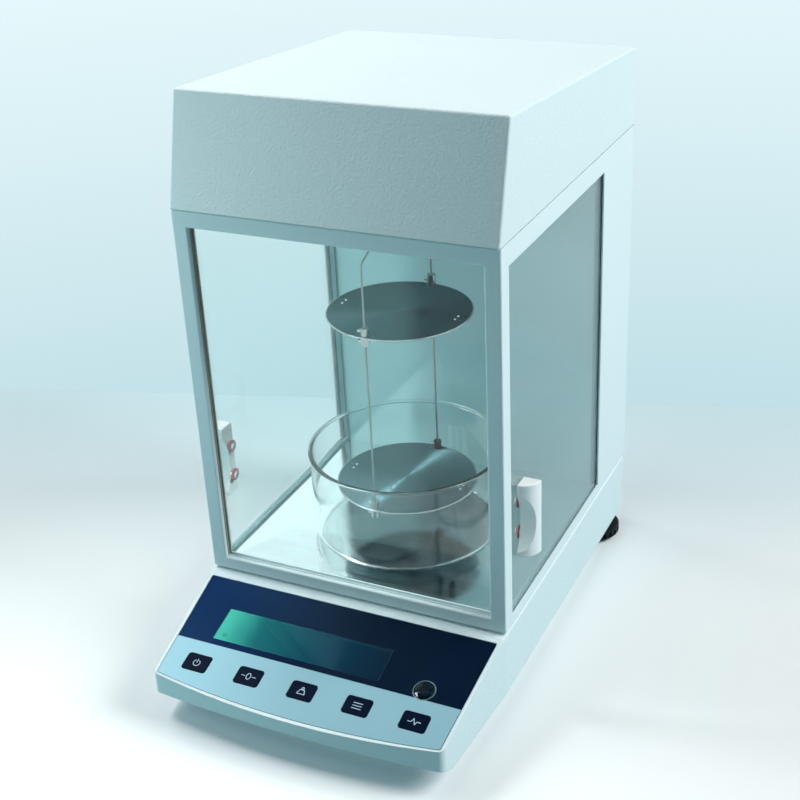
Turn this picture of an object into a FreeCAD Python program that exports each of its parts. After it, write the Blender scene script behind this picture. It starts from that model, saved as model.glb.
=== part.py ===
import FreeCAD, Part
import os
import re
import Sketcher
from FreeCAD import Placement, Rotation, Vector

# Benchtop density meter: an electronic balance that weighs a sample in air and in liquid.
# +Z is up, the front faces -Y, and the origin is on the bench under the middle of the instrument.

os.makedirs("parts", exist_ok=True)
doc = FreeCAD.newDocument("density_meter")

SIZES = [
    ("overrun", 1.0, "how far a cutting tool passes the face that it cuts"),
    ("frame_width", 215.0, "width of the draught shield and of the deck"),
    ("shield_depth", 250.6, "front face of the shield to the back of the rear cover"),
    ("console_reach", 97.3, "how far the console stands out in front of the shield"),
    ("rear_proud", 2.0, "how far the connectors stand out behind the rear cover"),
    ("floor_gap", 13.5, "bench to the underside of the base"),
    ("base_height", 45.0, "underside of the base to its deck"),
    ("seam", 1.5, "shadow gap between the deck and the shield"),
    ("seam_inset", 2.5, "how far the plinth under the shield is set back"),
    ("frame_height", 257.5, "height of the draught shield"),
    ("base_wall", 3.0, "wall of the base housing"),
    ("console_slope", 15.8, "slope of the console in degrees"),
    ("deck_strip", 3.0, "flat strip of the deck in front of the shield"),
    ("lip_height", 9.0, "height of the console's front edge"),
    ("nose_run", 20.0, "length of the bevel under the front edge"),
    ("console_taper", 5.2, "how much each side draws in towards the front edge"),
    ("front_bow", 8.5, "how far the front edge bows out in its middle"),
    ("base_corner", 5.0, "radius of the base's upright corners"),
    ("base_round", 2.2, "radius of the deck's edges"),
    ("boss_radius", 4.5, "radius of the screw bosses in the base"),
    ("boss_inset", 11.0, "side of the base to the middle of a screw boss"),
    ("boss_back", 12.0, "rear of the base to the middle of the last screw boss"),
    ("boss_front", 58.0, "shield front to the middle of the screw boss behind it"),
    ("console_boss", 14.35, "shield front to the middle of the screw boss before it"),
    ("boss_pilot", 1.55, "radius of a pilot hole in a boss"),
    ("pilot_depth", 9.0, "depth of a pilot hole"),
    ("plate_thick", 2.0, "thickness of the base plate"),
    ("plate_gap", 0.3, "gap round the base plate"),
    ("base_screw_radius", 1.5, "shank of a base plate screw"),
    ("base_screw_head", 3.0, "head radius of a base plate screw"),
    ("base_screw_cap", 1.8, "head height of a base plate screw"),
    ("base_screw_length", 9.0, "shank length of a base plate screw"),
    ("screw_clear", 0.2, "radial gap of a screw in a through hole"),
    ("running_gap", 0.05, "radial gap of a pin that turns or slides in its hole"),
    ("foot_radius", 20.0, "radius of a levelling foot's turning disc"),
    ("foot_side", 16.0, "side of the base to the middle of a levelling foot"),
    ("foot_back", 224.8, "shield front to a levelling foot"),
    ("foot_disc", 6.5, "thickness of the turning disc"),
    ("foot_pad_radius", 16.5, "radius of a levelling foot's rubber pad"),
    ("foot_pad", 2.2, "thickness of the rubber pad"),
    ("foot_gap", 0.3, "gap between the rubber pad and the turning disc"),
    ("foot_round", 1.2, "edge radius of the turning disc"),
    ("foot_spigot", 3.0, "radius and height of the pad's pivot"),
    ("foot_stud", 4.0, "radius of the levelling screw"),
    ("foot_stud_length", 25.0, "length of the levelling screw"),
    ("foot_notch", 1.4, "radius of a grip notch in the turning disc"),
    ("foot_notches", 24, "number of grip notches"),
    ("insert_radius", 8.0, "radius of the threaded boss on the base plate"),
    ("insert_height", 12.0, "height of the threaded boss"),
    ("fixed_foot_radius", 11.0, "radius of a fixed front foot"),
    ("fixed_foot_toe", 9.0, "radius of a fixed front foot at the bench"),
    ("fixed_foot_side", 39.5, "side of the base to the middle of a fixed front foot"),
    ("fixed_foot_front", 42.0, "shield front to a fixed front foot"),
    ("overlay_top", 4.9, "top of the slope to the top edge of the overlay"),
    ("overlay_length", 82.9, "length of the overlay at its corners"),
    ("overlay_bow", 7.5, "how far the overlay's front edge bows out"),
    ("overlay_margin", 3.0, "side of the console to the overlay"),
    ("overlay_thick", 0.5, "thickness of the overlay"),
    ("overlay_gap", 0.4, "gap round the overlay"),
    ("overlay_corner", 1.0, "corner radius of the overlay"),
    ("window_width", 120.0, "width of the display window"),
    ("window_height", 25.0, "height of the display window"),
    ("window_side_share", 0.3692, "share of the console's spare width at the left of the window"),
    ("window_down", 27.8, "top of the slope to the window"),
    ("window_thick", 2.0, "thickness of the window pane"),
    ("window_gap", 0.25, "gap round the window pane"),
    ("lcd_frame", 5.0, "display module's frame round the window"),
    ("lcd_thick", 4.5, "thickness of the display module's frame"),
    ("board_thick", 1.6, "thickness of a circuit board"),
    ("board_lower", 0.3, "gap between the display module and its board"),
    ("board_side", 6.5, "display board to the sides of the console"),
    ("board_top", 20.0, "top of the slope to the display board"),
    ("board_length", 63.0, "length of the display board"),
    ("key_width", 17.4, "width of a key"),
    ("key_depth", 12.8, "depth of a key"),
    ("key_side", 30.3, "side of the console to the middle of an outer key"),
    ("key_down", 74.1, "top of the slope to the middle of a key"),
    ("key_proud", 0.4, "how far a key stands out of the overlay"),
    ("key_thick", 4.2, "thickness of a key"),
    ("key_corner", 1.8, "corner radius of a key"),
    ("key_round", 0.3, "edge radius of a key"),
    ("key_gap", 0.3, "gap round a key"),
    ("switch_gap", 0.5, "gap under a key at rest, a little more than its travel"),
    ("switch_width", 6.0, "width of a key switch"),
    ("switch_button", 1.7, "radius of a key switch's button"),
    ("switch_button_height", 0.8, "height of a key switch's button"),
    ("level_side_share", 0.3305, "share of the console's spare width at the right of the level"),
    ("level_down", 51.4, "top of the slope to the bubble level"),
    ("level_radius", 6.2, "radius of the level's vial"),
    ("level_height", 5.0, "height of the level's vial"),
    ("level_wall", 1.8, "wall of the level's housing"),
    ("level_floor", 1.5, "floor of the level's housing"),
    ("level_lip", 2.0, "how far the vial's top lies under the slope"),
    ("level_gap", 0.2, "gap round the level's vial and housing"),
    ("level_flange", 3.0, "how far the level's flange stands out under the console"),
    ("main_board_side", 32.5, "side of the base to the main board"),
    ("main_board_depth", 110.0, "depth of the main board"),
    ("main_board_back", 34.0, "shield front to the main board"),
    ("spacer_radius", 3.0, "radius of a board spacer"),
    ("spacer_height", 6.5, "height of a board spacer"),
    ("spacer_inset", 5.0, "edge of the board to a spacer"),
    ("chip_size", 14.0, "side of a large chip on the main board"),
    ("chip_height", 2.6, "height of a large chip"),
    ("transformer_side", 62.5, "side of the base to the middle of the transformer"),
    ("transformer_back", 178.0, "shield front to the transformer"),
    ("core_width", 48.0, "width of the transformer's core"),
    ("core_depth", 20.0, "depth of the transformer's core"),
    ("core_height", 36.0, "height of the transformer's core"),
    ("coil_width", 30.0, "width of the transformer's winding"),
    ("coil_depth", 36.0, "depth of the transformer's winding"),
    ("coil_height", 24.0, "height of the transformer's winding"),
    ("inlet_side", 47.5, "side of the base to the middle of the power inlet, and of the data port"),
    ("inlet_width", 30.0, "width of the inlet's body"),
    ("inlet_height", 22.0, "height of the inlet's body"),
    ("inlet_depth", 26.0, "depth of the inlet's body"),
    ("inlet_flange", 7.0, "inlet's flange to the side of its body"),
    ("inlet_wall", 2.6, "wall round the inlet's socket"),
    ("socket_depth", 18.0, "depth of the inlet's socket"),
    ("contact_length", 11.0, "length of a contact pin in the socket"),
    ("contact_width", 4.0, "width of a contact pin"),
    ("contact_thick", 1.6, "thickness of a contact pin"),
    ("contact_pitch", 7.0, "pitch of the outer contact pins"),
    ("port_width", 19.0, "width of the data port's shell"),
    ("port_height", 10.0, "height of the data port's shell"),
    ("port_depth", 12.0, "depth of the data port behind the wall"),
    ("port_flange", 6.0, "data port's flange to the side of its shell"),
    ("port_wall", 0.8, "wall of the data port's shell"),
    ("port_socket", 6.0, "depth of the data port's socket"),
    ("rear_axis", 23.0, "bench-side face of the base to the connectors' middle"),
    ("front_depth", 11.5, "depth of the front frame"),
    ("post_width", 10.6, "width of the front frame's posts"),
    ("front_sill", 9.1, "height of the front frame's lower rail"),
    ("front_head", 10.8, "height of the front frame's upper rail"),
    ("front_lip", 3.0, "thickness of the front frame's lip before the glass"),
    ("rebate", 3.0, "width of the rebate that holds the front glass"),
    ("frame_round", 1.2, "edge radius of the front frame"),
    ("front_glass_thick", 4.0, "thickness of the front glass"),
    ("gasket_wall", 1.0, "wall of the gasket round the front glass"),
    ("gasket_show", 0.5, "how far the gasket shows inside the frame's window"),
    ("gasket_gap", 0.1, "gap round the gasket and inside it"),
    ("side_skin", 1.0, "thickness of the side panels and of the rear cover"),
    ("side_back", 184.1, "shield front to the rear edge of the side opening"),
    ("side_sill", 6.9, "height of the side opening's lower edge"),
    ("side_head", 243.8, "height of the side opening's upper edge"),
    ("door_gap", 0.4, "gap between a door's glass and its grooves"),
    ("door_glass", 3.5, "thickness of a door's glass"),
    ("door_front", 8.4, "shield front to the front edge of a door"),
    ("door_length", 183.6, "length of a door's glass"),
    ("door_top", 249.5, "height of a door's upper edge over the plinth"),
    ("door_edge", 0.5, "ground bevel on a door's edges"),
    ("track_wall", 2.6, "inner wall of a door groove"),
    ("track_floor", 2.5, "floor of the lower door groove"),
    ("groove_roof", 250.5, "height of the upper door groove's roof over the plinth"),
    ("ceiling", 6.0, "thickness of the top plate over the chamber"),
    ("hook_hole", 8.0, "radius of the hole for the hook in the top plate"),
    ("floor_rise", 5.0, "height of the chamber floor"),
    ("floor_sheet", 1.0, "thickness of the chamber floor's sheet"),
    ("floor_gap_side", 0.2, "gap round the chamber floor"),
    ("wall_back", 188.0, "shield front to the chamber's rear wall"),
    ("wall_thick", 2.0, "thickness of the rear wall"),
    ("seal_width", 3.8, "width of a door seal"),
    ("seal_depth", 4.0, "depth of a door seal"),
    ("vent_width", 90.0, "length of a vent slot in the rear cover"),
    ("vent_height", 3.0, "height of a vent slot"),
    ("vent_pitch", 8.0, "pitch of the vent slots"),
    ("vent_low", 175.0, "plinth to the lowest vent slot"),
    ("vents", 6, "number of vent slots"),
    ("cover_screw_radius", 0.9, "shank radius of a rear cover screw"),
    ("cover_screw_head", 2.2, "head radius of a rear cover screw"),
    ("cover_screw_cap", 1.3, "head height of a rear cover screw"),
    ("cover_screw_length", 7.0, "length of a rear cover screw's shank"),
    ("lug_width", 10.0, "width of a track's lug for a rear cover screw"),
    ("lug_depth", 8.0, "depth and height of that lug"),
    ("cover_screw_side", 29.5, "side of the rear cover to the outer screws at its top"),
    ("cover_step", 0.15, "how far the top cover's sides lie inside the frame's"),
    ("cover_seam", 0.8, "shadow gap under the top cover"),
    ("cover_overhang", 1.2, "top cover's lower front edge in front of the frame"),
    ("cover_height", 70.1, "height of the top cover at its front"),
    ("cover_fall", 16.3, "how much lower the cover is at its rear"),
    ("cover_lean", 17.2, "shield front to the cover's upper front edge"),
    ("cover_back", 248.9, "shield front to the cover's rear"),
    ("cover_wall", 2.0, "wall of the top cover"),
    ("cover_round", 1.8, "edge radius of the top cover"),
    ("post_radius", 4.5, "radius of the top cover's screw posts"),
    ("post_side", 19.5, "side of the frame to the middle of a screw post"),
    ("post_front", 30.0, "shield front to the front screw posts"),
    ("post_rear", 228.0, "shield front to the rear screw posts"),
    ("top_screw_radius", 2.0, "shank radius of a top cover screw"),
    ("top_screw_head", 3.6, "head radius of a top cover screw"),
    ("top_screw_cap", 2.4, "head height of a top cover screw"),
    ("top_screw_length", 16.0, "shank length of a top cover screw"),
    ("handle_reach", 12.0, "radius of a handle's quarter-round section"),
    ("handle_height", 52.0, "height of a handle"),
    ("handle_low", 43.0, "plinth to the lower end of a handle"),
    ("handle_back", 36.2, "shield front to a handle's rear face"),
    ("handle_round", 0.8, "edge radius of a handle"),
    ("thumb_radius", 38.0, "radius of the thumb recess in a handle's front"),
    ("thumb_depth", 6.0, "depth of the thumb recess"),
    ("thumb_drop", 2.0, "middle of a handle to the middle of its recess"),
    ("handle_screw_back", 31.0, "shield front to the handle screws"),
    ("handle_screw_low", 57.5, "plinth to the lower handle screw"),
    ("handle_screw_pitch", 22.0, "pitch of the handle screws"),
    ("handle_screw_radius", 1.5, "shank radius of a handle screw"),
    ("handle_screw_head", 2.8, "head radius of a handle screw"),
    ("handle_screw_cap", 1.8, "head height of a handle screw"),
    ("handle_screw_bite", 6.0, "how far a handle screw enters the handle"),
    ("washer_radius", 4.2, "outer radius of a handle washer"),
    ("washer_bore", 1.8, "inner radius of a handle washer"),
    ("washer_thick", 1.2, "thickness of a handle washer"),
    ("glass_hole", 2.2, "radius of a screw hole in a door's glass"),
    ("hang_back", 91.0, "shield front to the hanger's axis"),
    ("wire_radius", 0.7, "radius of the hanger wire"),
    ("wire_reach", 45.0, "hanger's axis to a leg of the wire"),
    ("wire_foot", 36.5, "plinth to the lower end of the wire"),
    ("wire_shoulder", 217.5, "plinth to the wire's shoulders"),
    ("wire_rise", 29.0, "slope of the wire's bow in degrees"),
    ("wire_bend", 4.0, "bend radius of the wire's shoulders"),
    ("wire_peak", 7.0, "bend radius at the top of the bow"),
    ("hanger_turn", 3.8, "turn of the hanger about its axis in degrees"),
    ("pan_radius", 48.2, "radius of a pan"),
    ("pan_thick", 1.0, "thickness of a pan"),
    ("pan_hole", 1.1, "radius of a hole in a pan"),
    ("upper_pan_height", 169.0, "plinth to the underside of the upper pan"),
    ("lower_pan_height", 43.0, "plinth to the underside of the lower pan"),
    ("collar_radius", 2.8, "radius of a collar"),
    ("collar_height", 5.6, "height of a collar"),
    ("rear_collar_height", 8.0, "height of the tall collar at the rear of the upper pan"),
    ("set_screw_radius", 1.1, "radius of a collar's set screw"),
    ("set_screw_length", 4.2, "length of a collar's set screw"),
    ("dish_radius", 66.0, "outer radius of the dish's wall"),
    ("dish_wall", 2.4, "wall of the dish"),
    ("dish_height", 65.0, "height of the dish"),
    ("dish_corner", 9.0, "outer radius between the dish's wall and floor"),
    ("dish_bead", 1.8, "how far the dish's rim stands out"),
    ("eye_half", 3.2, "half width of the eye that carries the wire"),
    ("eye_thick", 3.0, "thickness of the eye"),
    ("eye_hole", 1.5, "radius of the hole in the eye"),
    ("rod_radius", 2.0, "radius of the load carrier's rod"),
    ("rod_top", 52.0, "top plate to the upper end of the rod"),
    ("fork_gap", 0.4, "gap between the beam's fork and the load carrier"),
    ("carrier_disc", 5.0, "radius of the load carrier's discs"),
    ("carrier_disc_thick", 3.0, "thickness of the load carrier's discs"),
    ("beam_low", 28.0, "top plate to the underside of the beam"),
    ("beam_thick", 6.0, "thickness of the beam"),
    ("beam_half", 4.0, "half width of the beam"),
    ("beam_nose", 5.0, "hanger's axis to the front end of the beam"),
    ("pivot_back", 31.0, "hanger's axis to the beam's pivot"),
    ("pivot_radius", 1.5, "radius of the beam's trunnions"),
    ("coil_back", 86.0, "hanger's axis to the force coil"),
    ("slab_half", 30.0, "half width of the sensor frame's base slab"),
    ("slab_front", 12.0, "hanger's axis to the sensor frame's base slab"),
    ("slab_back", 112.0, "hanger's axis to the rear end of that slab"),
    ("slab_thick", 6.0, "thickness of the sensor frame's base slab"),
    ("cheek_in", 10.0, "middle plane to the inside of a cheek"),
    ("cheek_thick", 5.0, "thickness of a cheek"),
    ("cheek_front", 24.0, "hanger's axis to the front of the cheeks"),
    ("cheek_depth", 14.0, "depth of the cheeks"),
    ("cheek_top", 48.0, "top plate to the top of the cheeks"),
    ("bridge_thick", 6.0, "thickness of the bridge between the cheeks"),
    ("step_top", 12.0, "top plate to the seat of the lower guide arm"),
    ("arm_half", 9.0, "half width of a guide arm"),
    ("arm_thick", 0.5, "thickness of a guide arm"),
    ("arm_gap", 0.3, "radial gap of a guide arm round the rod"),
    ("pot_radius", 23.0, "radius of the magnet pot"),
    ("pot_height", 18.0, "height of the magnet pot"),
    ("pot_floor", 3.0, "floor under the magnet pot's air gap"),
    ("gap_in", 8.8, "inner radius of the air gap"),
    ("gap_out", 14.4, "outer radius of the air gap"),
    ("winding_in", 10.3, "inner radius of the force coil"),
    ("winding_out", 12.7, "outer radius of the force coil"),
    ("winding_height", 14.5, "height of the force coil"),
    ("former_thick", 1.5, "thickness of the force coil's former"),
]

# Places that follow from the sizes, each a formula.
PLACES = {
    "half": "frame_width / 2",
    "front": "(console_reach - shield_depth - rear_proud) / 2",
    "rear": "front + shield_depth",
    "nose": "front - console_reach",
    "nose_corner": "nose + front_bow",
    "nose_half": "half - console_taper",
    "console_spare": "frame_width - window_width - 2 * level_radius",
    "window_left": "half - window_side_share * console_spare",
    "level_across": "half - level_side_share * console_spare - level_radius",
    "key_pitch": "(half - key_side) / 2",
    "foot_across": "half - foot_side",
    "fixed_foot_across": "half - fixed_foot_side",
    "transformer_across": "half - transformer_side",
    "main_board_width": "frame_width - 2 * main_board_side",
    "inlet_across": "half - inlet_side",
    "cover_screw_across": "half - cover_screw_side",
    "post_across": "half - post_side",
    "deck": "floor_gap + base_height",
    "slope_top": "front - deck_strip",
    "nose_edge": "deck - (console_reach - deck_strip) * tan(console_slope)",
    "plinth": "deck + seam",
    "crown": "plinth + frame_height",
    "inner_rear": "rear - side_skin",
    "frame_back": "front + front_depth",
    "skin_in": "half - side_skin",
    "glass_out": "skin_in - door_gap",
    "glass_in": "glass_out - door_glass",
    "groove_in": "glass_in - door_gap",
    "track_in": "groove_in - track_wall",
    "seal_in": "groove_in - seal_width",
    "window_half": "half - post_width",
    "opening_low": "plinth + side_sill",
    "opening_high": "plinth + side_head",
    "hang": "front + hang_back",
    "plate_top": "floor_gap + plate_thick",
    "foot_y": "front + foot_back",
    "disc_low": "foot_pad + foot_gap",
    "disc_top": "disc_low + foot_disc",
    "overlay_low": "overlay_top + overlay_length",
    "lcd_top": "0 - window_thick",
    "lcd_back": "0 - overlay_thick - base_wall - lcd_thick",
    "board_face": "lcd_back - board_lower",
    "switch_top": "key_proud - key_thick - switch_gap",
    "connector_z": "floor_gap + rear_axis",
    "cover_low": "crown + cover_seam",
    "pan_bore_side": "wire_reach * sin(hanger_turn)",
    "pan_bore_reach": "wire_reach * cos(hanger_turn)",
    "bow_apex": "wire_shoulder + wire_reach * tan(wire_rise)",
    "bow_peak": "plinth + bow_apex - wire_peak * (1 / cos(wire_rise) - 1)",
    "pivot_y": "hang + pivot_back",
    "pivot_z": "crown + beam_low + beam_thick / 2",
    "collar_bore": "wire_radius + running_gap",
}

ALIASES = [alias for alias, amount, meaning in SIZES]
WORD = re.compile(r"[a-z][a-z_]+")

sheet = doc.addObject("Spreadsheet::Sheet", "sizes")
for row, (alias, amount, meaning) in enumerate(SIZES, 1):
    sheet.set(f"A{row}", alias)
    sheet.set(f"B{row}", str(amount))
    sheet.set(f"C{row}", meaning)
    sheet.setAlias(f"B{row}", alias)
doc.recompute()
NODES = []
SMALL = 1e-6


def words(formula):
    """Writes the places in a formula out in full and points each size at its cell."""
    text = str(formula)
    while any(name in PLACES for name in WORD.findall(text)):
        text = WORD.sub(lambda hit: f"({PLACES[hit[0]]})" if hit[0] in PLACES else hit[0], text)
    return WORD.sub(lambda hit: f"sizes.{hit[0]}" if hit[0] in ALIASES else hit[0], text)


def value(formula):
    """The number that a formula has now."""
    return float(sheet.evalExpression(words(formula)))


def bind(thing, prop, formula):
    thing.setExpression(prop, words(formula))


def put(thing, x, y, z):
    """Binds where a thing stands."""
    for axis, formula in zip("xyz", (x, y, z)):
        bind(thing, f"Placement.Base.{axis}", formula)
    return thing


def turn(thing, axis, formula):
    """Binds how far a thing is turned about an axis through its own origin."""
    thing.Placement = Placement(Vector(), Rotation(axis, 1))
    bind(thing, "Placement.Rotation.Angle", formula)
    return thing


def node(label, thing):
    """Names a finished sub-part, which is written out under that name."""
    thing.Label = label
    NODES.append(thing)
    return thing


def both(half_width):
    """The span between a way out on the left and the same on the right."""
    return f"0 - ({half_width})", f"({half_width})"


def span(middle, width):
    return f"{middle} - ({width}) / 2", f"{middle} + ({width}) / 2"


def rise(low, height):
    return low, f"{low} + ({height})"


def past(low, high):
    """A span made longer at both ends, for a tool that cuts right through."""
    return f"{low} - overrun", f"{high} + overrun"


def block(label, x, y, z):
    """A block between two corners; x, y and z are each a low and a high formula."""
    thing = doc.addObject("Part::Box", label)
    for prop, (low, high) in zip(("Length", "Width", "Height"), (x, y, z)):
        bind(thing, prop, f"({high}) - ({low})")
    return put(thing, x[0], y[0], z[0])


def bar(label, axis, radius, centre, length):
    """A round bar along an axis; centre holds its place on the other two axes, in order."""
    thing = doc.addObject("Part::Cylinder", label)
    bind(thing, "Radius", radius)
    bind(thing, "Height", f"({length[1]}) - ({length[0]})")
    if axis == "x":
        thing.Placement = Placement(Vector(), Rotation(Vector(0, 1, 0), 90))
        return put(thing, length[0], centre[0], centre[1])
    if axis == "y":
        thing.Placement = Placement(Vector(), Rotation(Vector(1, 0, 0), -90))
        return put(thing, centre[0], length[0], centre[1])
    return put(thing, centre[0], centre[1], length[0])


def join(label, *things):
    thing = doc.addObject("Part::MultiFuse", label)
    thing.Shapes = list(things)
    thing.Refine = True
    return thing


def group(label, *things):
    """Separate solids that share one node."""
    thing = doc.addObject("Part::Compound", label)
    thing.Links = list(things)
    return thing


def cut(label, base, *tools):
    thing = doc.addObject("Part::Cut", label)
    thing.Base = base
    thing.Tool = tools[0] if len(tools) == 1 else group(f"{label}_tools", *tools)
    thing.Refine = True
    return thing


def common(label, first, second):
    thing = doc.addObject("Part::Common", label)
    thing.Base = first
    thing.Tool = second
    return thing


def mirrored(label, thing):
    """The same thing on the other side of the middle plane."""
    copy = doc.addObject("Part::Mirroring", label)
    copy.Source = thing
    copy.Normal = Vector(1, 0, 0)
    return copy


def new_body(label):
    return doc.addObject("PartDesign::Body", label)


def origin_plane(body, role):
    return next(part for part in body.Origin.OriginFeatures if part.Role == role)


def new_sketch(body, plane, label):
    sketch = body.newObject("Sketcher::SketchObject", label)
    sketch.AttachmentSupport = (origin_plane(body, plane), [""])
    sketch.MapMode = "FlatFace"
    return sketch


def pin_point(sketch, geometry, end, x, y):
    """Holds a point of the sketch at two formulas measured from the sketch's origin."""
    for kind, formula in (("DistanceX", x), ("DistanceY", y)):
        index = sketch.addConstraint(Sketcher.Constraint(kind, -1, 1, geometry, end, value(formula)))
        bind(sketch, f"Constraints[{index}]", formula)


def arc_between(start, end, radius, side):
    """An arc from start to end; side is 1 where its centre lies left of the way, -1 where right."""
    way = end - start
    across = Vector(-way.y, way.x, 0).normalize() * side
    reach = max(radius * radius - way.Length * way.Length / 4, 0) ** 0.5
    centre = start + way / 2 + across * reach
    first, last = (start, end) if side > 0 else (end, start)
    circle = Part.Circle(centre, Vector(0, 0, 1), radius)
    return Part.ArcOfCircle(circle, circle.parameter(first), circle.parameter(last))


def trace(sketch, corners, closed=True):
    """Draws an outline. A corner is (x, y), or (x, y, radius, side) where an arc leads to it."""
    first = sketch.GeometryCount
    count = len(corners)
    places = [Vector(value(corner[0]), value(corner[1]), 0) for corner in corners]
    ends = []
    for index in range(count if closed else count - 1):
        start, end = places[index], places[(index + 1) % count]
        target = corners[(index + 1) % count]
        if len(target) > 2:
            radius, side = target[2], target[3]
            made = sketch.addGeometry(arc_between(start, end, value(radius), side), False)
            held = sketch.addConstraint(Sketcher.Constraint("Radius", made, value(radius)))
            bind(sketch, f"Constraints[{held}]", radius)
            ends.append((1, 2) if side > 0 else (2, 1))
        else:
            made = sketch.addGeometry(Part.LineSegment(start, end), False)
            ends.append((1, 2))
        pin_point(sketch, made, ends[-1][0], *corners[index][:2])
    if not closed:
        pin_point(sketch, first + count - 2, ends[-1][1], *corners[-1][:2])
    for index in range(len(ends) - (0 if closed else 1)):
        after = (index + 1) % len(ends)
        here, there = (first + index, ends[index][1]), (first + after, ends[after][0])
        sketch.addConstraint(Sketcher.Constraint("Coincident", *here, *there))
    return sketch


def ring_line(sketch, x, y, radius):
    """Draws a circle whose centre and radius follow formulas."""
    circle = Part.Circle(Vector(value(x), value(y), 0), Vector(0, 0, 1), value(radius))
    made = sketch.addGeometry(circle, False)
    held = sketch.addConstraint(Sketcher.Constraint("Radius", made, value(radius)))
    bind(sketch, f"Constraints[{held}]", radius)
    pin_point(sketch, made, 3, x, y)
    return sketch


def pad(body, sketch, length, both_ways=False, reverse=False):
    feature = body.newObject("PartDesign::Pad", f"{body.Name}_pad")
    feature.Profile = sketch
    bind(feature, "Length", length)
    feature.SideType = "Symmetric" if both_ways else "One side"
    feature.Reversed = reverse
    return feature


def pocket(body, sketch, length, both_ways=False, reverse=False):
    feature = body.newObject("PartDesign::Pocket", f"{body.Name}_pocket")
    feature.Profile = sketch
    bind(feature, "Length", length)
    feature.SideType = "Symmetric" if both_ways else "One side"
    feature.Reversed = reverse
    return feature


def turned(label, outline, x, y, z="0"):
    """A turned body; its outline gives radius and height about an upright axis at x and y."""
    body = new_body(label)
    sketch = trace(new_sketch(body, "XZ_Plane", f"{label}_outline"), outline)
    feature = body.newObject("PartDesign::Revolution", f"{label}_turning")
    feature.Profile = sketch
    feature.ReferenceAxis = (sketch, ["V_Axis"])
    feature.Angle = 360
    return put(body, x, y, z)


def edges_where(shape, test):
    """The numbers of the edges that a test picks, told by each edge's box."""
    return [number for number, edge in enumerate(shape.Edges, 1) if test(edge.BoundBox)]


def soften(body, base, test, radius, kind="Fillet"):
    """Rounds or bevels the chosen edges of a body."""
    doc.recompute()
    feature = body.newObject(f"PartDesign::{kind}", f"{body.Name}_{kind.lower()}")
    feature.Base = (base, [f"Edge{number}" for number in edges_where(base.Shape, test)])
    bind(feature, "Radius" if kind == "Fillet" else "Size", radius)
    return feature


def upright(box):
    """An edge that runs along Z only."""
    return box.XLength + box.YLength < SMALL and box.ZLength > SMALL


# Things on the console's slope: across is X, down runs down the slope, lift stands square to it.

def on_slope(thing, across, down, lift):
    turn(thing, Vector(1, 0, 0), "console_slope")
    y = f"slope_top - ({down}) * cos(console_slope) - ({lift}) * sin(console_slope)"
    z = f"deck - ({down}) * sin(console_slope) + ({lift}) * cos(console_slope)"
    return put(thing, across, y, z)


def slope_block(label, across, down, lift):
    """A block on the slope between two corners; down runs from the upper edge to the lower."""
    thing = doc.addObject("Part::Box", label)
    bind(thing, "Length", f"({across[1]}) - ({across[0]})")
    bind(thing, "Width", f"({down[1]}) - ({down[0]})")
    bind(thing, "Height", f"({lift[1]}) - ({lift[0]})")
    return on_slope(thing, across[0], down[1], lift[0])


def side_at(down):
    """Half the console's width at a way down its slope."""
    return f"(half - console_taper * ({down}) * cos(console_slope) / (console_reach - front_bow))"


def overlay_blank(label, margin, low, high):
    """The overlay's outline as a sheet between two heights over the slope."""
    top, bottom = "overlay_top", "overlay_low"
    wide = f"({side_at(top)} - overlay_margin + ({margin}))"
    narrow = f"({side_at(bottom)} - overlay_margin + ({margin}))"
    bow = f"(({narrow}) * ({narrow}) + overlay_bow * overlay_bow) / (2 * overlay_bow)"
    body = new_body(label)
    sketch = trace(new_sketch(body, "XY_Plane", f"{label}_outline"), [
        (wide, f"({margin}) - {top}"),
        (f"0 - {wide}", f"({margin}) - {top}"),
        (f"0 - {narrow}", f"0 - ({margin}) - {bottom}"),
        (narrow, f"0 - ({margin}) - {bottom}", bow, 1),
    ])
    sheet_part = pad(body, sketch, f"({high}) - ({low})")
    soften(body, sheet_part, upright, "overlay_corner")
    return on_slope(body, "0", "0", low)


# Base housing

def base_hull(label, inset, roof, foot="0"):
    """The base's outer form, or with an inset the space inside it; foot opens it below."""
    tilt_drop = f"({roof}) / cos(console_slope)"
    slope_start = f"slope_top + ({tilt_drop} - ({inset})) / tan(console_slope)"
    body = new_body(label)
    profile = [
        (f"rear - ({inset})", f"deck - ({inset})"),
        (slope_start, f"deck - ({inset})"),
        (f"nose - overrun + ({inset})",
         f"nose_edge + (({inset}) - overrun) * tan(console_slope) - {tilt_drop}"),
        (f"nose - overrun + ({inset})", "nose_edge - lip_height"),
        (f"nose + nose_run + ({inset})", "floor_gap"),
    ]
    if foot != "0":
        profile.append((f"nose + nose_run + ({inset})", f"floor_gap - ({foot})"))
    profile.append((f"rear - ({inset})", f"floor_gap - ({foot})"))
    pad(body, trace(new_sketch(body, "YZ_Plane", f"{label}_side"), profile),
        "frame_width + 2 * overrun", both_ways=True)
    bow = "((nose_half * nose_half + front_bow * front_bow) / (2 * front_bow))"
    tip = f"(nose_half - ({inset}))"
    plan = new_sketch(body, "XY_Plane", f"{label}_plan")
    trace(plan, [
        (f"half - ({inset})", f"rear - ({inset})"),
        (f"0 - half + ({inset})", f"rear - ({inset})"),
        (f"0 - half + ({inset})", "front"),
        (f"0 - {tip}", f"nose_corner + ({inset})"),
        (tip, f"nose_corner + ({inset})", bow, 1),
        (f"half - ({inset})", "front"),
    ])
    outer = "(frame_width + 2 * overrun)"
    trace(plan, [
        (outer, "rear + frame_width"),
        (f"0 - {outer}", "rear + frame_width"),
        (f"0 - {outer}", "nose - frame_width"),
        (outer, "nose - frame_width"),
    ])
    return body, pocket(body, plan, "frame_width + 2 * deck", both_ways=True)


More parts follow.
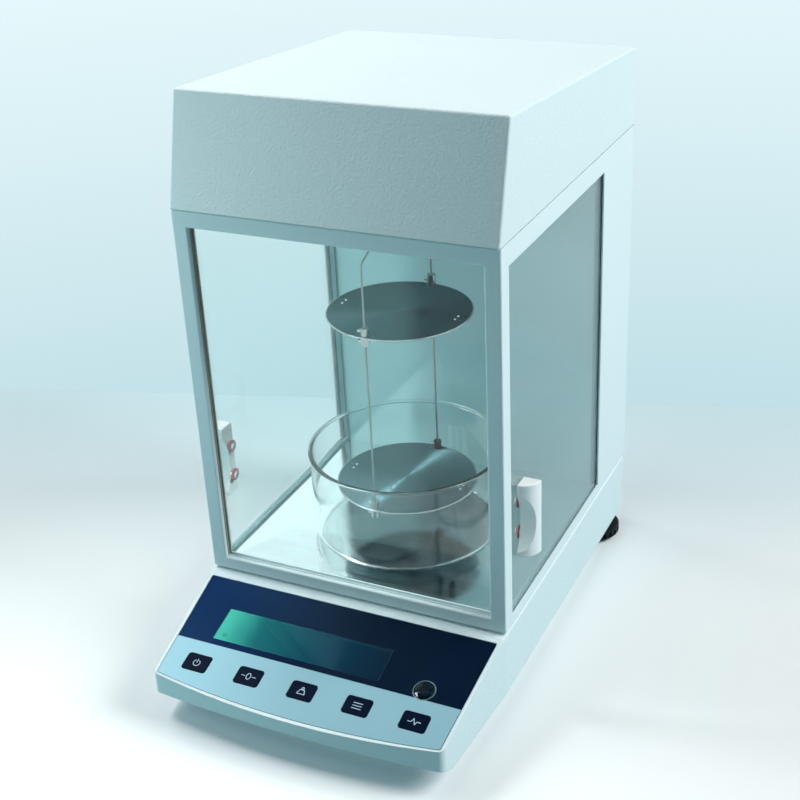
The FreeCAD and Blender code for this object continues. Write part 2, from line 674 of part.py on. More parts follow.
# Where the base plate's screws are: a way out from the middle plane and a place from front to rear.
BOSSES = [
    ("half - boss_inset / 2 - console_taper", "front - console_boss"),
    ("half - boss_inset", "front + boss_front"),
    ("inlet_across / 2", "rear - boss_back"),
]
SIDES = (("left", -1), ("right", 1))


def boss_bars(label, radius, length):
    """A bar on each side at every row of base screws."""
    return [bar(f"{label}_{row}_{side}", "z", radius, (f"{sign} * ({x})", y), length)
            for row, (x, y) in enumerate(BOSSES) for side, sign in SIDES]


def key_row():
    """Each key's name and its place across the console."""
    names = ("power_key", "tare_key", "calibration_key", "mode_key", "test_key")
    return [(name, f"({place - 2}) * key_pitch") for place, name in enumerate(names)]


def window_block(label, margin, lift):
    """A block over the display window, larger all round by a margin."""
    across = (f"0 - window_left - {margin}", f"window_width - window_left + {margin}")
    down = (f"window_down - {margin}", f"window_down + window_height + {margin}")
    return slope_block(label, across, down, lift)


def key_form(label, margin, low, high):
    """A key's outline with its rounded corners, larger all round by a margin, between two heights."""
    body = new_body(label)
    wide, deep = f"(key_width / 2 + {margin})", f"(key_depth / 2 + {margin})"
    sketch = trace(new_sketch(body, "XY_Plane", f"{label}_outline"), [
        (wide, deep), (f"0 - {wide}", deep), (f"0 - {wide}", f"0 - {deep}"), (wide, f"0 - {deep}")])
    return body, soften(body, pad(body, sketch, f"({high}) - ({low})"), upright, f"key_corner + {margin}")


def key_blocks(label, lift):
    """A block over each key with the gap round it."""
    return [on_slope(key_form(f"{label}_{name}", "key_gap", *lift)[0], x, "key_down", lift[0])
            for name, x in key_row()]


def level_bar(label, radius, height):
    return bar(label, "z", radius, ("level_across", level_y()), height)


def make_base_housing():
    body, trimmed = base_hull("base_form", "0", "0")
    kink, top = value("front"), value("deck")
    corners = soften(body, trimmed, lambda box: upright(box) and abs(box.YMin - kink) > SMALL, "base_corner")
    soften(body, corners, lambda box: box.ZMin > top - SMALL and box.YMin > kink - SMALL, "base_round")
    inside = base_hull("base_space", "base_wall", "base_wall + overlay_thick", "overrun")[0]
    shell = cut("base_shell", body, inside)
    plinth = block("base_plinth", ("seam_inset - half", "half - seam_inset"),
                   ("front + seam_inset", "rear - seam_inset"), ("deck - base_wall / 2", "plinth"))
    envelope = base_hull("base_envelope", "base_wall / 2", "base_wall")[0]
    bars = boss_bars("boss", "boss_radius", ("plate_top", "deck"))
    bosses = common("base_bosses", group("base_boss_bars", *bars), envelope)
    whole = join("base_whole", shell, plinth, bosses)
    through = ("0 - base_wall - overlay_thick - overrun", "overrun")
    window = window_block("window_cut", "window_gap", through)
    keys = key_blocks("housing_cut", through)
    hole = "level_radius + level_wall + 2 * level_gap"
    level = level_bar("level_cut", hole, ("plate_top", "deck + overrun"))
    wall = past("rear - base_wall", "rear")
    inlet = block("inlet_cut", span("0 - inlet_across", "inlet_width"), wall,
                  span("connector_z", "inlet_height"))
    port = block("port_cut", span("inlet_across", "port_width"), wall, span("connector_z", "port_height"))
    pilots = boss_bars("pilot", "boss_pilot", ("plate_top - overrun", "plate_top + pilot_depth"))
    recess = overlay_blank("overlay_recess", "overlay_gap", "0 - overlay_thick", "overrun")
    node("base_housing", cut("housing", whole, recess, window, level, inlet, port, *keys, *pilots))


def level_y():
    return "slope_top - level_down * cos(console_slope)"


def level_top():
    """The height of the vial's top face: under the slope by its lip."""
    return "(deck - level_down * sin(console_slope) - level_lip)"


def make_base_plate():
    edge = "(base_wall + plate_gap)"
    front_edge = f"(nose + nose_run + {edge})"
    narrow = f"(half - {edge} - console_taper * (front - {front_edge}) / (console_reach - front_bow))"
    body = new_body("plate_form")
    sketch = trace(new_sketch(body, "XY_Plane", "plate_outline"), [
        (f"half - {edge}", f"rear - {edge}"),
        (f"{edge} - half", f"rear - {edge}"),
        (f"{edge} - half", "front"),
        (f"0 - {narrow}", front_edge),
        (narrow, front_edge),
        (f"half - {edge}", "front"),
    ])
    pad(body, sketch, "plate_thick")
    put(body, "0", "0", "floor_gap")
    feet = [bar(f"insert_{side}", "z", "insert_radius", (f"{sign} * foot_across", "foot_y"),
                ("plate_top", "plate_top + insert_height")) for side, sign in SIDES]
    spacers = [bar(f"spacer_{number}", "z", "spacer_radius", place, rise("plate_top", "spacer_height"))
               for number, place in enumerate(spacer_places())]
    studs = [bar(f"stud_hole_{side}", "z", "foot_stud + running_gap", (f"{sign} * foot_across", "foot_y"),
                 ("floor_gap - overrun", "plate_top + insert_height + overrun"))
             for side, sign in SIDES]
    screws = boss_bars("plate_hole", "base_screw_radius + screw_clear",
                       ("floor_gap - overrun", "plate_top + overrun"))
    node("base_plate", cut("plate", join("plate_solid", body, *feet, *spacers), *studs, *screws))


def spacer_places():
    return [(f"{side} * (main_board_width / 2 - spacer_inset)", y) for side in (-1, 1)
            for y in ("front + main_board_back + spacer_inset",
                      "front + main_board_back + main_board_depth - spacer_inset")]


def make_base_screws():
    shanks = boss_bars("base_screw", "base_screw_radius", ("floor_gap", "floor_gap + base_screw_length"))
    caps = boss_bars("base_screw_cap", "base_screw_head", ("floor_gap - base_screw_cap", "floor_gap"))
    screws = [join(f"base_screw_whole_{number}", shank, cap)
              for number, (shank, cap) in enumerate(zip(shanks, caps))]
    node("base_plate_screws", group("base_screws", *screws))


def make_front_feet():
    feet = []
    for side, sign in SIDES:
        feet.append(turned(f"front_foot_{side}", [
            ("0", "0"), ("fixed_foot_toe", "0"), ("fixed_foot_radius", "plate_thick"),
            ("fixed_foot_radius", "floor_gap"), ("0", "floor_gap")],
            f"{sign} * fixed_foot_across", "front - fixed_foot_front"))
    node("front_feet", group("fixed_feet", *feet))


def make_levelling_foot(side, sign):
    x = f"{sign} * foot_across"
    node(f"{side}_foot_pad", turned(f"{side}_pad", [
        ("0", "0"), ("foot_pad_radius", "0"), ("foot_pad_radius", "foot_pad"), ("foot_spigot", "foot_pad"),
        ("foot_spigot", "foot_pad + foot_spigot"), ("0", "foot_pad + foot_spigot")], x, "foot_y"))
    bore = "foot_spigot + running_gap"
    disc = turned(f"{side}_disc", [
        (bore, "disc_low"), ("foot_radius - foot_round", "disc_low"),
        ("foot_radius", "disc_low + foot_round", "foot_round", 1),
        ("foot_radius", "disc_top - foot_round"),
        ("foot_radius - foot_round", "disc_top", "foot_round", 1),
        ("foot_stud", "disc_top"), ("foot_stud", "disc_top + foot_stud_length"),
        ("0", "disc_top + foot_stud_length"), ("0", "disc_low + foot_spigot + foot_gap"),
        (bore, "disc_low + foot_spigot + foot_gap")], x, "foot_y")
    notches = []
    for count in range(int(value("foot_notches"))):
        angle = f"({count} * 360 / foot_notches)"
        centre = (f"{x} + foot_radius * cos({angle})", f"foot_y + foot_radius * sin({angle})")
        notches.append(bar(f"{side}_notch_{count}", "z", "foot_notch", centre,
                           ("disc_low + foot_round", "disc_top - foot_round")))
    node(f"{side}_foot_screw", cut(f"{side}_foot_disc", disc, *notches))


# Console

def make_overlay():
    blank = overlay_blank("overlay_form", "0", "0 - overlay_thick", "0")
    reach = ("0 - overlay_thick - overrun", "overrun")
    window = window_block("overlay_window", "window_gap", reach)
    keys = key_blocks("overlay_cut", reach)
    level = level_bar("overlay_level", "level_radius + level_gap", ("plate_top", "deck + overrun"))
    node("panel_overlay", cut("overlay", blank, window, level, *keys))


def make_display():
    node("display_window", window_block("window_pane", "0", ("0 - window_thick", "0")))
    under = "0 - overlay_thick - base_wall"
    glass = window_block("lcd_glass", "0", (under, "lcd_top"))
    frame = window_block("lcd_back_frame", "lcd_frame", ("lcd_back", under))
    node("lcd_module", join("lcd", glass, frame))
    wide = f"({side_at('board_top + board_length')} - board_side)"
    board = slope_block("display_board_sheet", both(wide), rise("board_top", "board_length"),
                        ("board_face - board_thick", "board_face"))
    hole = "level_radius + level_wall + 4 * level_gap"
    relief = level_bar("board_level_hole", hole, ("plate_top", "deck"))
    node("display_board", cut("display_board_cut", board, relief))


def make_switches():
    switches = []
    for name, x in key_row():
        body = slope_block(f"{name}_switch", span(x, "switch_width"), span("key_down", "switch_width"),
                           ("board_face", "switch_top - switch_button_height"))
        button = doc.addObject("Part::Cylinder", f"{name}_button")
        bind(button, "Radius", "switch_button")
        bind(button, "Height", "switch_button_height")
        on_slope(button, x, "key_down", "switch_top - switch_button_height")
        switches.append(join(f"{name}_switch_whole", body, button))
    node("key_switches", group("switches", *switches))


def make_keys():
    top = value("key_thick")
    for name, x in key_row():
        body, cap = key_form(f"{name}_form", "0", "key_proud - key_thick", "key_proud")
        soften(body, cap, lambda box: box.ZMin > top - SMALL, "key_round")
        node(name, on_slope(body, x, "key_down", "key_proud - key_thick"))


def make_level():
    top = level_top()
    place = ("level_across", level_y())
    inner = "level_radius + level_gap"
    node("level_vial", bar("vial", "z", "level_radius", place, (f"{top} - level_height", top)))
    outer = bar("level_cup", "z", "level_radius + level_gap + level_wall", place,
                (f"{top} - level_height - level_floor", "deck"))
    bore = bar("level_bore", "z", inner, place, (f"{top} - level_height", "deck + overrun"))
    above = slope_block("level_trim", span("level_across", "console_reach"), ("0", "console_reach"),
                        ("0 - overlay_thick - level_gap", "console_reach / 2"))
    flange = doc.addObject("Part::Cylinder", "level_flange_disc")
    bind(flange, "Radius", "level_radius + level_gap + level_wall + level_flange")
    bind(flange, "Height", "level_wall")
    on_slope(flange, "level_across", "level_down", "0 - overlay_thick - base_wall - level_wall")
    node("level_housing", cut("level_case", join("level_blank", outer, flange), bore, above))


# Electronics in the base

# Where the large chips lie on the main board, as shares of its half width and of its depth.
CHIP_SHARES = [(-0.6, 0.25), (-0.15, 0.3), (0.3, 0.2), (0.65, 0.45), (-0.35, 0.7), (0.2, 0.72)]


def make_main_board():
    low = "plate_top + spacer_height"
    high = f"{low} + board_thick"
    board = block("main_board_sheet", both("main_board_width / 2"),
                  rise("front + main_board_back", "main_board_depth"), (low, high))
    chips = []
    for number, (across_share, along_share) in enumerate(CHIP_SHARES):
        x = f"({across_share}) * main_board_width / 2"
        y = f"front + main_board_back + ({along_share}) * main_board_depth"
        across, along = span(x, "chip_size"), span(y, "chip_size")
        chips.append(block(f"chip_{number}", across, along, rise(high, "chip_height")))
    node("main_board", join("main_board_whole", board, *chips))


def make_transformer():
    x, y = "transformer_across", "front + transformer_back"
    middle = "plate_top + core_height / 2"
    core = block("transformer_core", span(x, "core_width"), span(y, "core_depth"),
                 rise("plate_top", "core_height"))
    winding = block("transformer_winding", span(x, "coil_width"), span(y, "coil_depth"),
                    span(middle, "coil_height"))
    node("transformer", join("transformer_whole", core, winding))


def make_power_inlet():
    x, z = "0 - inlet_across", "connector_z"
    wide, tall = "inlet_width", "inlet_height"
    flange = block("inlet_flange_plate", span(x, f"{wide} + 2 * inlet_flange"), rise("rear", "rear_proud"),
                   span(z, f"{tall} + 2 * inlet_wall"))
    inside = block("inlet_case", span(x, f"{wide} - 2 * plate_gap"), ("rear - inlet_depth", "rear"),
                   span(z, f"{tall} - 2 * plate_gap"))
    floor = "rear + rear_proud - socket_depth"
    deep = (floor, "rear + rear_proud + overrun")
    socket = block("inlet_socket", span(x, f"{wide} - 2 * inlet_wall"), deep,
                   span(z, f"{tall} - 2 * inlet_wall"))
    places = [(f"{x} - contact_pitch", f"{z} - contact_width / 2"), (x, f"{z} + contact_width / 2"),
              (f"{x} + contact_pitch", f"{z} - contact_width / 2")]
    pins = []
    for number, (across, up) in enumerate(places):
        pins.append(block(f"inlet_contact_{number}", span(across, "contact_thick"),
                          (f"{floor} - overrun", f"{floor} + contact_length"), span(up, "contact_width")))
    shell = cut("inlet_shell", join("inlet_blank", flange, inside), socket)
    node("power_inlet", join("inlet_whole", shell, *pins))


def make_data_port():
    x, z = "inlet_across", "connector_z"
    wide, tall = "port_width", "port_height"
    flange = block("port_flange_plate", span(x, f"{wide} + 2 * port_flange"), rise("rear", "rear_proud / 2"),
                   span(z, f"{tall} + 2 * port_wall"))
    deep = ("rear - port_depth", "rear + rear_proud")
    shell = block("port_shell", span(x, f"{wide} - 2 * plate_gap"), deep, span(z, f"{tall} - 2 * plate_gap"))
    inset = "2 * (plate_gap + port_wall)"
    hollow = ("rear + rear_proud - port_socket", "rear + rear_proud + overrun")
    socket = block("port_socket_space", span(x, f"{wide} - {inset}"), hollow, span(z, f"{tall} - {inset}"))
    node("data_port", cut("port", join("port_blank", flange, shell), socket))


# Draught shield

def make_front_frame():
    body = new_body("front_frame_form")
    face = new_sketch(body, "XZ_Plane", "front_frame_outline")
    trace(face, rectangle("half", "plinth", "crown"))
    trace(face, rectangle("window_half", "plinth + front_sill", "crown - front_head"))
    frame = pad(body, face, "front_depth", reverse=True)
    soften(body, frame, lambda box: box.YMax < SMALL, "frame_round")
    put(body, "0", "front", "0")
    rebate = block("frame_rebate", ("0 - window_half - rebate", "window_half + rebate"),
                   ("front + front_lip", "frame_back + overrun"),
                   ("plinth + front_sill - rebate", "crown - front_head + rebate"))
    grooves = [block(f"frame_groove_{side}", *side_span(sign, "groove_in", "skin_in"),
                     ("front + door_front - door_gap", "frame_back + overrun"),
                     ("plinth + track_floor", "plinth + groove_roof")) for side, sign in SIDES]
    node("front_frame", cut("front_frame_cut", body, rebate, *grooves))


def rectangle(half_width, low, high):
    left, right = both(half_width)
    return [(right, low), (right, high), (left, high), (left, low)]


def side_span(sign, inner, outer):
    """The X span between two ways out from the middle plane, on either side, as a one-item list."""
    return [(inner, outer) if sign > 0 else (f"0 - ({outer})", f"0 - ({inner})")]


def make_front_glass():
    edge = "(rebate - gasket_gap)"
    pane = f"({edge} - gasket_wall - gasket_gap)"
    low, high = "plinth + front_sill", "crown - front_head"
    first = "front + front_lip + gasket_wall"
    depth = "(front_glass_thick + gasket_gap)"
    ring = block("gasket_blank", both(f"window_half + {edge}"),
                 ("front + front_lip", f"{first} + {depth} + gasket_wall"),
                 (f"{low} - {edge}", f"{high} + {edge}"))
    opening = block("gasket_opening", both("window_half - gasket_show"), ("front", "frame_back"),
                    (f"{low} + gasket_show", f"{high} - gasket_show"))
    inner = f"({edge} - gasket_wall)"
    seat = block("gasket_seat", both(f"window_half + {inner}"), rise(first, depth),
                 (f"{low} - {inner}", f"{high} + {inner}"))
    node("front_gasket", cut("gasket", ring, opening, seat))
    node("front_glass", block("front_pane", both(f"window_half + {pane}"), rise(first, "front_glass_thick"),
                              (f"{low} - {pane}", f"{high} + {pane}")))


def make_side_panel(side, sign):
    skin = side_span(sign, "skin_in", "half")
    sheet_part = block(f"{side}_skin", *skin, ("frame_back", "inner_rear"), ("plinth", "crown"))
    opening = block(f"{side}_opening", *side_span(sign, "skin_in - overrun", "half + overrun"),
                    ("front", "front + side_back"), ("opening_low", "opening_high"))
    node(f"{side}_side_panel", cut(f"{side}_panel_cut", sheet_part, opening))


def make_track(side, sign):
    along = ("frame_back", "inner_rear")
    floor = block(f"{side}_track_base", *side_span(sign, "track_in", "skin_in"), along,
                  ("plinth", "plinth + track_floor"))
    wall = block(f"{side}_track_wall", *side_span(sign, "track_in", "groove_in"), along,
                 ("plinth", "opening_low"))
    lug = block(f"{side}_track_lug", *side_span(sign, "track_in - lug_width", "track_in"),
                ("inner_rear - lug_depth", "inner_rear"), ("plinth", "plinth + lug_depth"))
    bore = bar(f"{side}_lug_hole", "y", "cover_screw_radius", lug_screw(sign),
               ("inner_rear - cover_screw_length", "inner_rear + overrun"))
    node(f"{side}_track", cut(f"{side}_track_cut", join(f"{side}_track_blank", floor, wall, lug), bore))


def lug_screw(sign):
    return (f"{sign} * (track_in - lug_width / 2)", "plinth + lug_depth / 2")


def top_screw_places():
    rows = ("front + post_front", "front + post_rear")
    return [(f"{sign} * post_across", row) for sign in (-1, 1) for row in rows]


def make_top_plate():
    along = ("frame_back - overrun", "inner_rear + overrun")
    plate = block("top_plate_blank", ("0 - skin_in", "skin_in"), ("frame_back", "inner_rear"),
                  ("opening_high", "crown"))
    recess = block("top_plate_recess", ("0 - track_in", "track_in"), along,
                   ("opening_high - overrun", "crown - ceiling"))
    grooves = [block(f"top_groove_{side}", *side_span(sign, "groove_in", "skin_in + overrun"), along,
                     ("opening_high - overrun", "plinth + groove_roof")) for side, sign in SIDES]
    hook = bar("top_hook_hole", "z", "hook_hole", ("0", "hang"), past("crown - ceiling", "crown"))
    holes = []
    for number, place in enumerate(top_screw_places()):
        holes.append(bar(f"top_hole_{number}", "z", "top_screw_radius + screw_clear", place,
                         ("crown - ceiling - overrun", "crown + overrun")))
        holes.append(bar(f"top_sink_{number}", "z", "top_screw_head + screw_clear", place,
                         ("crown - ceiling - overrun", "crown - ceiling + top_screw_cap")))
    rear_holes = [bar(f"top_rear_hole_{number}", "y", "cover_screw_radius", (x, "crown - ceiling / 2"),
                      ("inner_rear - cover_screw_length", "inner_rear + overrun"))
                  for number, x in enumerate(UPPER_COVER_SCREWS)]
    node("top_plate", cut("top_plate_cut", plate, recess, *grooves, hook, *holes, *rear_holes))


UPPER_COVER_SCREWS = ("0 - cover_screw_across", "0", "cover_screw_across")


def rear_screw_places():
    return [(x, "crown - ceiling / 2") for x in UPPER_COVER_SCREWS] + [lug_screw(-1), lug_screw(1)]


def make_rear_parts():
    wall = rise("front + wall_back", "wall_thick")
    node("rear_wall", block("rear_wall_sheet", both("seal_in"), wall, ("plinth", "crown - ceiling")))
    edge = (f"{wall[1]} - seal_depth", wall[1])
    seals = [block(f"{side}_seal", *side_span(sign, "seal_in", "groove_in"), edge,
                   ("opening_low", "opening_high")) for side, sign in SIDES]
    node("door_seals", group("seals", *seals))
    cover = block("rear_cover_sheet", ("0 - half", "half"), ("inner_rear", "rear"), ("plinth", "crown"))
    through = ("inner_rear - overrun", "rear + overrun")
    slots = [block(f"{side}_door_slot", *side_span(sign, "groove_in", "skin_in"), through,
                   ("plinth + track_floor", "plinth + groove_roof")) for side, sign in SIDES]
    vents = [block(f"vent_{number}", both("vent_width / 2"), through,
                   rise(f"plinth + vent_low + {number} * vent_pitch", "vent_height"))
             for number in range(int(value("vents")))]
    holes = [bar(f"rear_hole_{number}", "y", "cover_screw_radius + screw_clear", place, through)
             for number, place in enumerate(rear_screw_places())]
    node("rear_cover", cut("rear_cover_cut", cover, *slots, *vents, *holes))
    screws = []
    for number, place in enumerate(rear_screw_places()):
        deep = ("rear - cover_screw_length", "rear")
        shank = bar(f"rear_shank_{number}", "y", "cover_screw_radius", place, deep)
        cap = bar(f"rear_cap_{number}", "y", "cover_screw_head", place, rise("rear", "cover_screw_cap"))
        screws.append(join(f"rear_screw_{number}", shank, cap))
    node("rear_cover_screws", group("rear_screws", *screws))


def make_chamber_floor():
    wide = "(track_in - floor_gap_side)"
    along = ("frame_back + floor_gap_side", "front + wall_back - floor_gap_side")
    tray = block("floor_tray", (f"0 - {wide}", wide), along, ("plinth", "plinth + floor_rise"))
    under = block("floor_under", (f"floor_sheet - {wide}", f"{wide} - floor_sheet"),
                  (f"{along[0]} + floor_sheet", f"{along[1]} - floor_sheet"),
                  ("plinth - overrun", "plinth + floor_rise - floor_sheet"))
    node("chamber_floor", cut("floor_cut", tray, under))


# Doors

def make_door(side, sign):
    body = new_body(f"{side}_door_form")
    face = new_sketch(body, "YZ_Plane", f"{side}_door_outline")
    low, high = "plinth + track_floor + door_gap", "plinth + door_top"
    first, last = "front + door_front", "front + door_front + door_length"
    trace(face, [(first, low), (last, low), (last, high), (first, high)])
    for y, z in handle_screw_places():
        ring_line(face, y, z, "glass_hole")
    pane = pad(body, face, "door_glass")
    long_edge = value("door_length") / 2
    soften(body, pane, lambda box: max(box.YLength, box.ZLength) > long_edge, "door_edge", kind="Chamfer")
    node(f"{side}_door_glass", put(body, "glass_in" if sign > 0 else "0 - glass_out", "0", "0"))


def handle_screw_places():
    y = "front + handle_screw_back"
    return [(y, "plinth + handle_screw_low"), (y, "plinth + handle_screw_low + handle_screw_pitch")]


def make_handle_fittings():
    """The right door's fittings, and the same mirrored for the left door."""
    grip = new_body("handle_form")
    section = new_sketch(grip, "XY_Plane", "handle_section")
    trace(section, [("0", "0"), ("0", "0 - handle_reach"), ("handle_reach", "0", "handle_reach", 1)])
    solid = pad(grip, section, "handle_height")
    tip = value("handle_reach") - SMALL
    soften(grip, solid, lambda box: box.ZLength < SMALL or box.XMin > tip, "handle_round")
    put(grip, "glass_out", "front + handle_back", "plinth + handle_low")
    middle = "plinth + handle_low + handle_height / 2 - thumb_drop"
    thumb_y = "front + handle_back - handle_reach + thumb_depth - thumb_radius"
    thumb = bar("thumb_cutter", "x", "thumb_radius", (thumb_y, middle),
                ("glass_out - overrun", "glass_out + handle_reach + overrun"))
    bores = [bar(f"handle_bore_{number}", "x", "handle_screw_radius", place,
                 ("glass_out - overrun", "glass_out + handle_screw_bite"))
             for number, place in enumerate(handle_screw_places())]
    handle = cut("handle_cut", grip, thumb, *bores)
    screws, washers = [], []
    inner = "glass_in - washer_thick"
    for number, place in enumerate(handle_screw_places()):
        shank = bar(f"handle_shank_{number}", "x", "handle_screw_radius", place,
                    (inner, "glass_out + handle_screw_bite"))
        head = (f"{inner} - handle_screw_cap", inner)
        cap = bar(f"handle_cap_{number}", "x", "handle_screw_head", place, head)
        screws.append(join(f"handle_screw_{number}", shank, cap))
        ring = bar(f"washer_blank_{number}", "x", "washer_radius", place, (inner, "glass_in"))
        hole = bar(f"washer_hole_{number}", "x", "washer_bore", place, past(inner, "glass_in"))
        washers.append(cut(f"washer_{number}", ring, hole))
    for name, thing in (("handle", handle), ("handle_screws", group("screw_pair", *screws)),
                        ("handle_washers", group("washer_pair", *washers))):
        node(f"right_{name}", thing)
        node(f"left_{name}", mirrored(f"left_{name}_copy", thing))


# Hanger with its two pans

def make_wire():
    body = new_body("wire_form")
    path = new_sketch(body, "YZ_Plane", "wire_path")
    shoulder = "wire_shoulder"
    tangent = "(wire_bend * tan((90 - wire_rise) / 2))"
    reach = "(wire_peak * sin(wire_rise))"
    bend_top = "bow_apex - wire_peak * tan(wire_rise) * sin(wire_rise)"
    out = f"(wire_reach - {tangent} * cos(wire_rise))"
    up = f"({shoulder} + {tangent} * sin(wire_rise))"
    trace(path, [
        ("0 - wire_reach", "wire_foot"), ("0 - wire_reach", f"{shoulder} - {tangent}"),
        (f"0 - {out}", up, "wire_bend", -1), (f"0 - {reach}", bend_top), (reach, bend_top, "wire_peak", -1),
        (out, up), ("wire_reach", f"{shoulder} - {tangent}", "wire_bend", -1), ("wire_reach", "wire_foot"),
    ], closed=False)
    section = new_sketch(body, "XY_Plane", "wire_section")
    bind(section, "AttachmentOffset.Base.z", "wire_foot")
    ring_line(section, "0", "0 - wire_reach", "wire_radius")
    doc.recompute()
    pipe = body.newObject("PartDesign::AdditivePipe", "wire_pipe")
    pipe.Profile = section
    pipe.Spine = (path, [f"Edge{number + 1}" for number in range(path.GeometryCount)])
    turn(body, Vector(0, 0, -1), "hanger_turn")
    node("hanger_wire", put(body, "0", "hang", "plinth"))


def make_pan(label, height):
    low, high = rise(f"plinth + {height}", "pan_thick")
    disc = bar(f"{label}_disc", "z", "pan_radius", ("0", "hang"), (low, high))
    holes = []
    for side in ("pan_bore_side", "0 - pan_bore_side"):
        for reach in ("pan_bore_reach", "0 - pan_bore_reach"):
            for x, y in ((side, reach), (reach, side)):
                place = (x, f"hang + ({y})")
                holes.append(bar(f"{label}_hole_{len(holes)}", "z", "pan_hole", place, past(low, high)))
    node(label, cut(f"{label}_cut", disc, *holes))


# The collars on the wire: which leg, where the collar starts over the plinth, and its height.
COLLARS = [
    ("front", "upper_pan_height + pan_thick", "collar_height"),
    ("front", "upper_pan_height - collar_height", "collar_height"),
    ("rear", "upper_pan_height + pan_thick", "rear_collar_height"),
    ("rear", "upper_pan_height - collar_height", "collar_height"),
    ("front", "lower_pan_height + pan_thick", "collar_height"),
    ("front", "lower_pan_height - collar_height", "collar_height"),
    ("rear", "lower_pan_height - collar_height", "collar_height"),
    ("rear", "lower_pan_height + pan_thick", "collar_height"),
]


def make_collars():
    collars, screws = [], []
    for number, (leg, low, height) in enumerate(COLLARS):
        sign = -1 if leg == "front" else 1
        x, y = f"{sign} * pan_bore_side", f"hang + {sign} * pan_bore_reach"
        bottom, middle = f"plinth + {low}", f"plinth + {low} + ({height}) / 2"
        ring = bar(f"collar_blank_{number}", "z", "collar_radius", (x, y), rise(bottom, height))
        bore = bar(f"collar_bore_{number}", "z", "collar_bore", (x, y), past(*rise(bottom, height)))
        reach = (f"{x} - collar_bore - set_screw_length", f"{x} - collar_bore")
        tap = bar(f"collar_tap_{number}", "x", "set_screw_radius + running_gap", (y, middle), (reach[0], x))
        collars.append(cut(f"collar_{number}", ring, bore, tap))
        screws.append(bar(f"set_screw_{number}", "x", "set_screw_radius", (y, middle), reach))
    node("lower_stop", collars.pop())
    node("pan_collars", group("collars", *collars))
    node("collar_screws", group("set_screws", *screws))


def make_load_carrier():
    eye = "(bow_peak + eye_hole - wire_radius - arm_gap)"
    upper = f"{eye} + eye_half + eye_thick / 2"
    head = block("eye_block", ("0 - eye_half", "eye_half"), ("hang - eye_thick / 2", "hang + eye_thick / 2"),
                 (f"{eye} - eye_half", upper))
    hole = bar("eye_cutter", "y", "eye_hole", ("0", eye), ("hang - eye_thick", "hang + eye_thick"))
    neck = bar("carrier_neck", "z", "eye_half", ("0", "hang"), (f"{eye} + eye_half", upper))
    rod = bar("carrier_rod", "z", "rod_radius", ("0", "hang"), (f"{eye} + eye_half", "crown + rod_top"))
    beam_top = "crown + beam_low + beam_thick"
    lows = ("crown + beam_low - fork_gap - carrier_disc_thick", f"{beam_top} + fork_gap")
    middle = ("0", "hang")
    discs = [bar(f"carrier_disc_{number}", "z", "carrier_disc", middle, rise(low, "carrier_disc_thick"))
             for number, low in enumerate(lows)]
    node("load_carrier", join("carrier", cut("eye_cut", head, hole), neck, rod, *discs))


# Weighing cell

def make_force_beam():
    thick = rise("crown + beam_low", "beam_thick")
    length = ("hang - beam_nose", "hang + coil_back + winding_out")
    beam = block("beam_bar", both("beam_half"), length, thick)
    slot = "(rod_radius + fork_gap)"
    fork = block("fork_slot", both(slot), ("hang - beam_nose - overrun", "hang"), past(*thick))
    fork_end = bar("fork_round", "z", slot, ("0", "hang"), past(*thick))
    pin = bar("beam_trunnions", "x", "pivot_radius", ("pivot_y", "pivot_z"), both("cheek_in + cheek_thick"))
    node("force_beam", join("beam", cut("beam_cut", beam, fork, fork_end), pin))
    place = ("0", "hang + coil_back")
    low = "crown + beam_low - former_thick"
    former = bar("coil_former", "z", "winding_out", place, (low, "crown + beam_low"))
    ring = bar("coil_ring", "z", "winding_out", place, (f"{low} - winding_height", low))
    bore = bar("coil_bore", "z", "winding_in", place, (f"{low} - winding_height - overrun", low))
    node("force_coil", cut("coil_cut", join("coil_blank", former, ring), bore))


def make_sensor_frame():
    slab = block("sensor_slab", both("slab_half"), ("hang + slab_front", "hang + slab_back"),
                 rise("crown", "slab_thick"))
    deep = rise("hang + cheek_front", "cheek_depth")
    cheeks = [block(f"{side}_cheek", *side_span(sign, "cheek_in", "cheek_in + cheek_thick"), deep,
                    ("crown", "crown + cheek_top")) for side, sign in SIDES]
    wide = both("cheek_in + cheek_thick")
    bridge = block("cheek_bridge", wide, deep, ("crown + cheek_top - bridge_thick", "crown + cheek_top"))
    step = block("arm_step", wide, ("hang + slab_front", "hang + cheek_front"), rise("crown", "step_top"))
    pivot = bar("pivot_hole", "x", "pivot_radius + running_gap", ("pivot_y", "pivot_z"), past(*wide))
    node("sensor_frame", cut("sensor_cut", join("sensor_blank", slab, *cheeks, bridge, step), pivot))
    arms = []
    for name, low, last in (("lower", "crown + step_top", "hang + cheek_front"),
                            ("upper", "crown + cheek_top", "hang + cheek_front + cheek_depth")):
        thick = rise(low, "arm_thick")
        strip = block(f"{name}_arm_strip", both("arm_half"), ("hang", last), thick)
        end = bar(f"{name}_arm_end", "z", "arm_half", ("0", "hang"), thick)
        hole = bar(f"{name}_arm_hole", "z", "rod_radius + arm_gap", ("0", "hang"), past(*thick))
        arms.append(cut(f"{name}_arm", join(f"{name}_arm_blank", strip, end), hole))
    node("guide_arms", group("arms", *arms))


def make_magnet_pot():
    place = ("0", "hang + coil_back")
    low, high = "crown + slab_thick", "crown + slab_thick + pot_height"
    pot = bar("pot_blank", "z", "pot_radius", place, (low, high))
    wide = bar("pot_gap_outer", "z", "gap_out", place, (f"{low} + pot_floor", f"{high} + overrun"))
    core = bar("pot_gap_core", "z", "gap_in", place, (low, f"{high} + 2 * overrun"))
    node("magnet_pot", cut("pot", pot, cut("pot_gap", wide, core)))


# Top cover

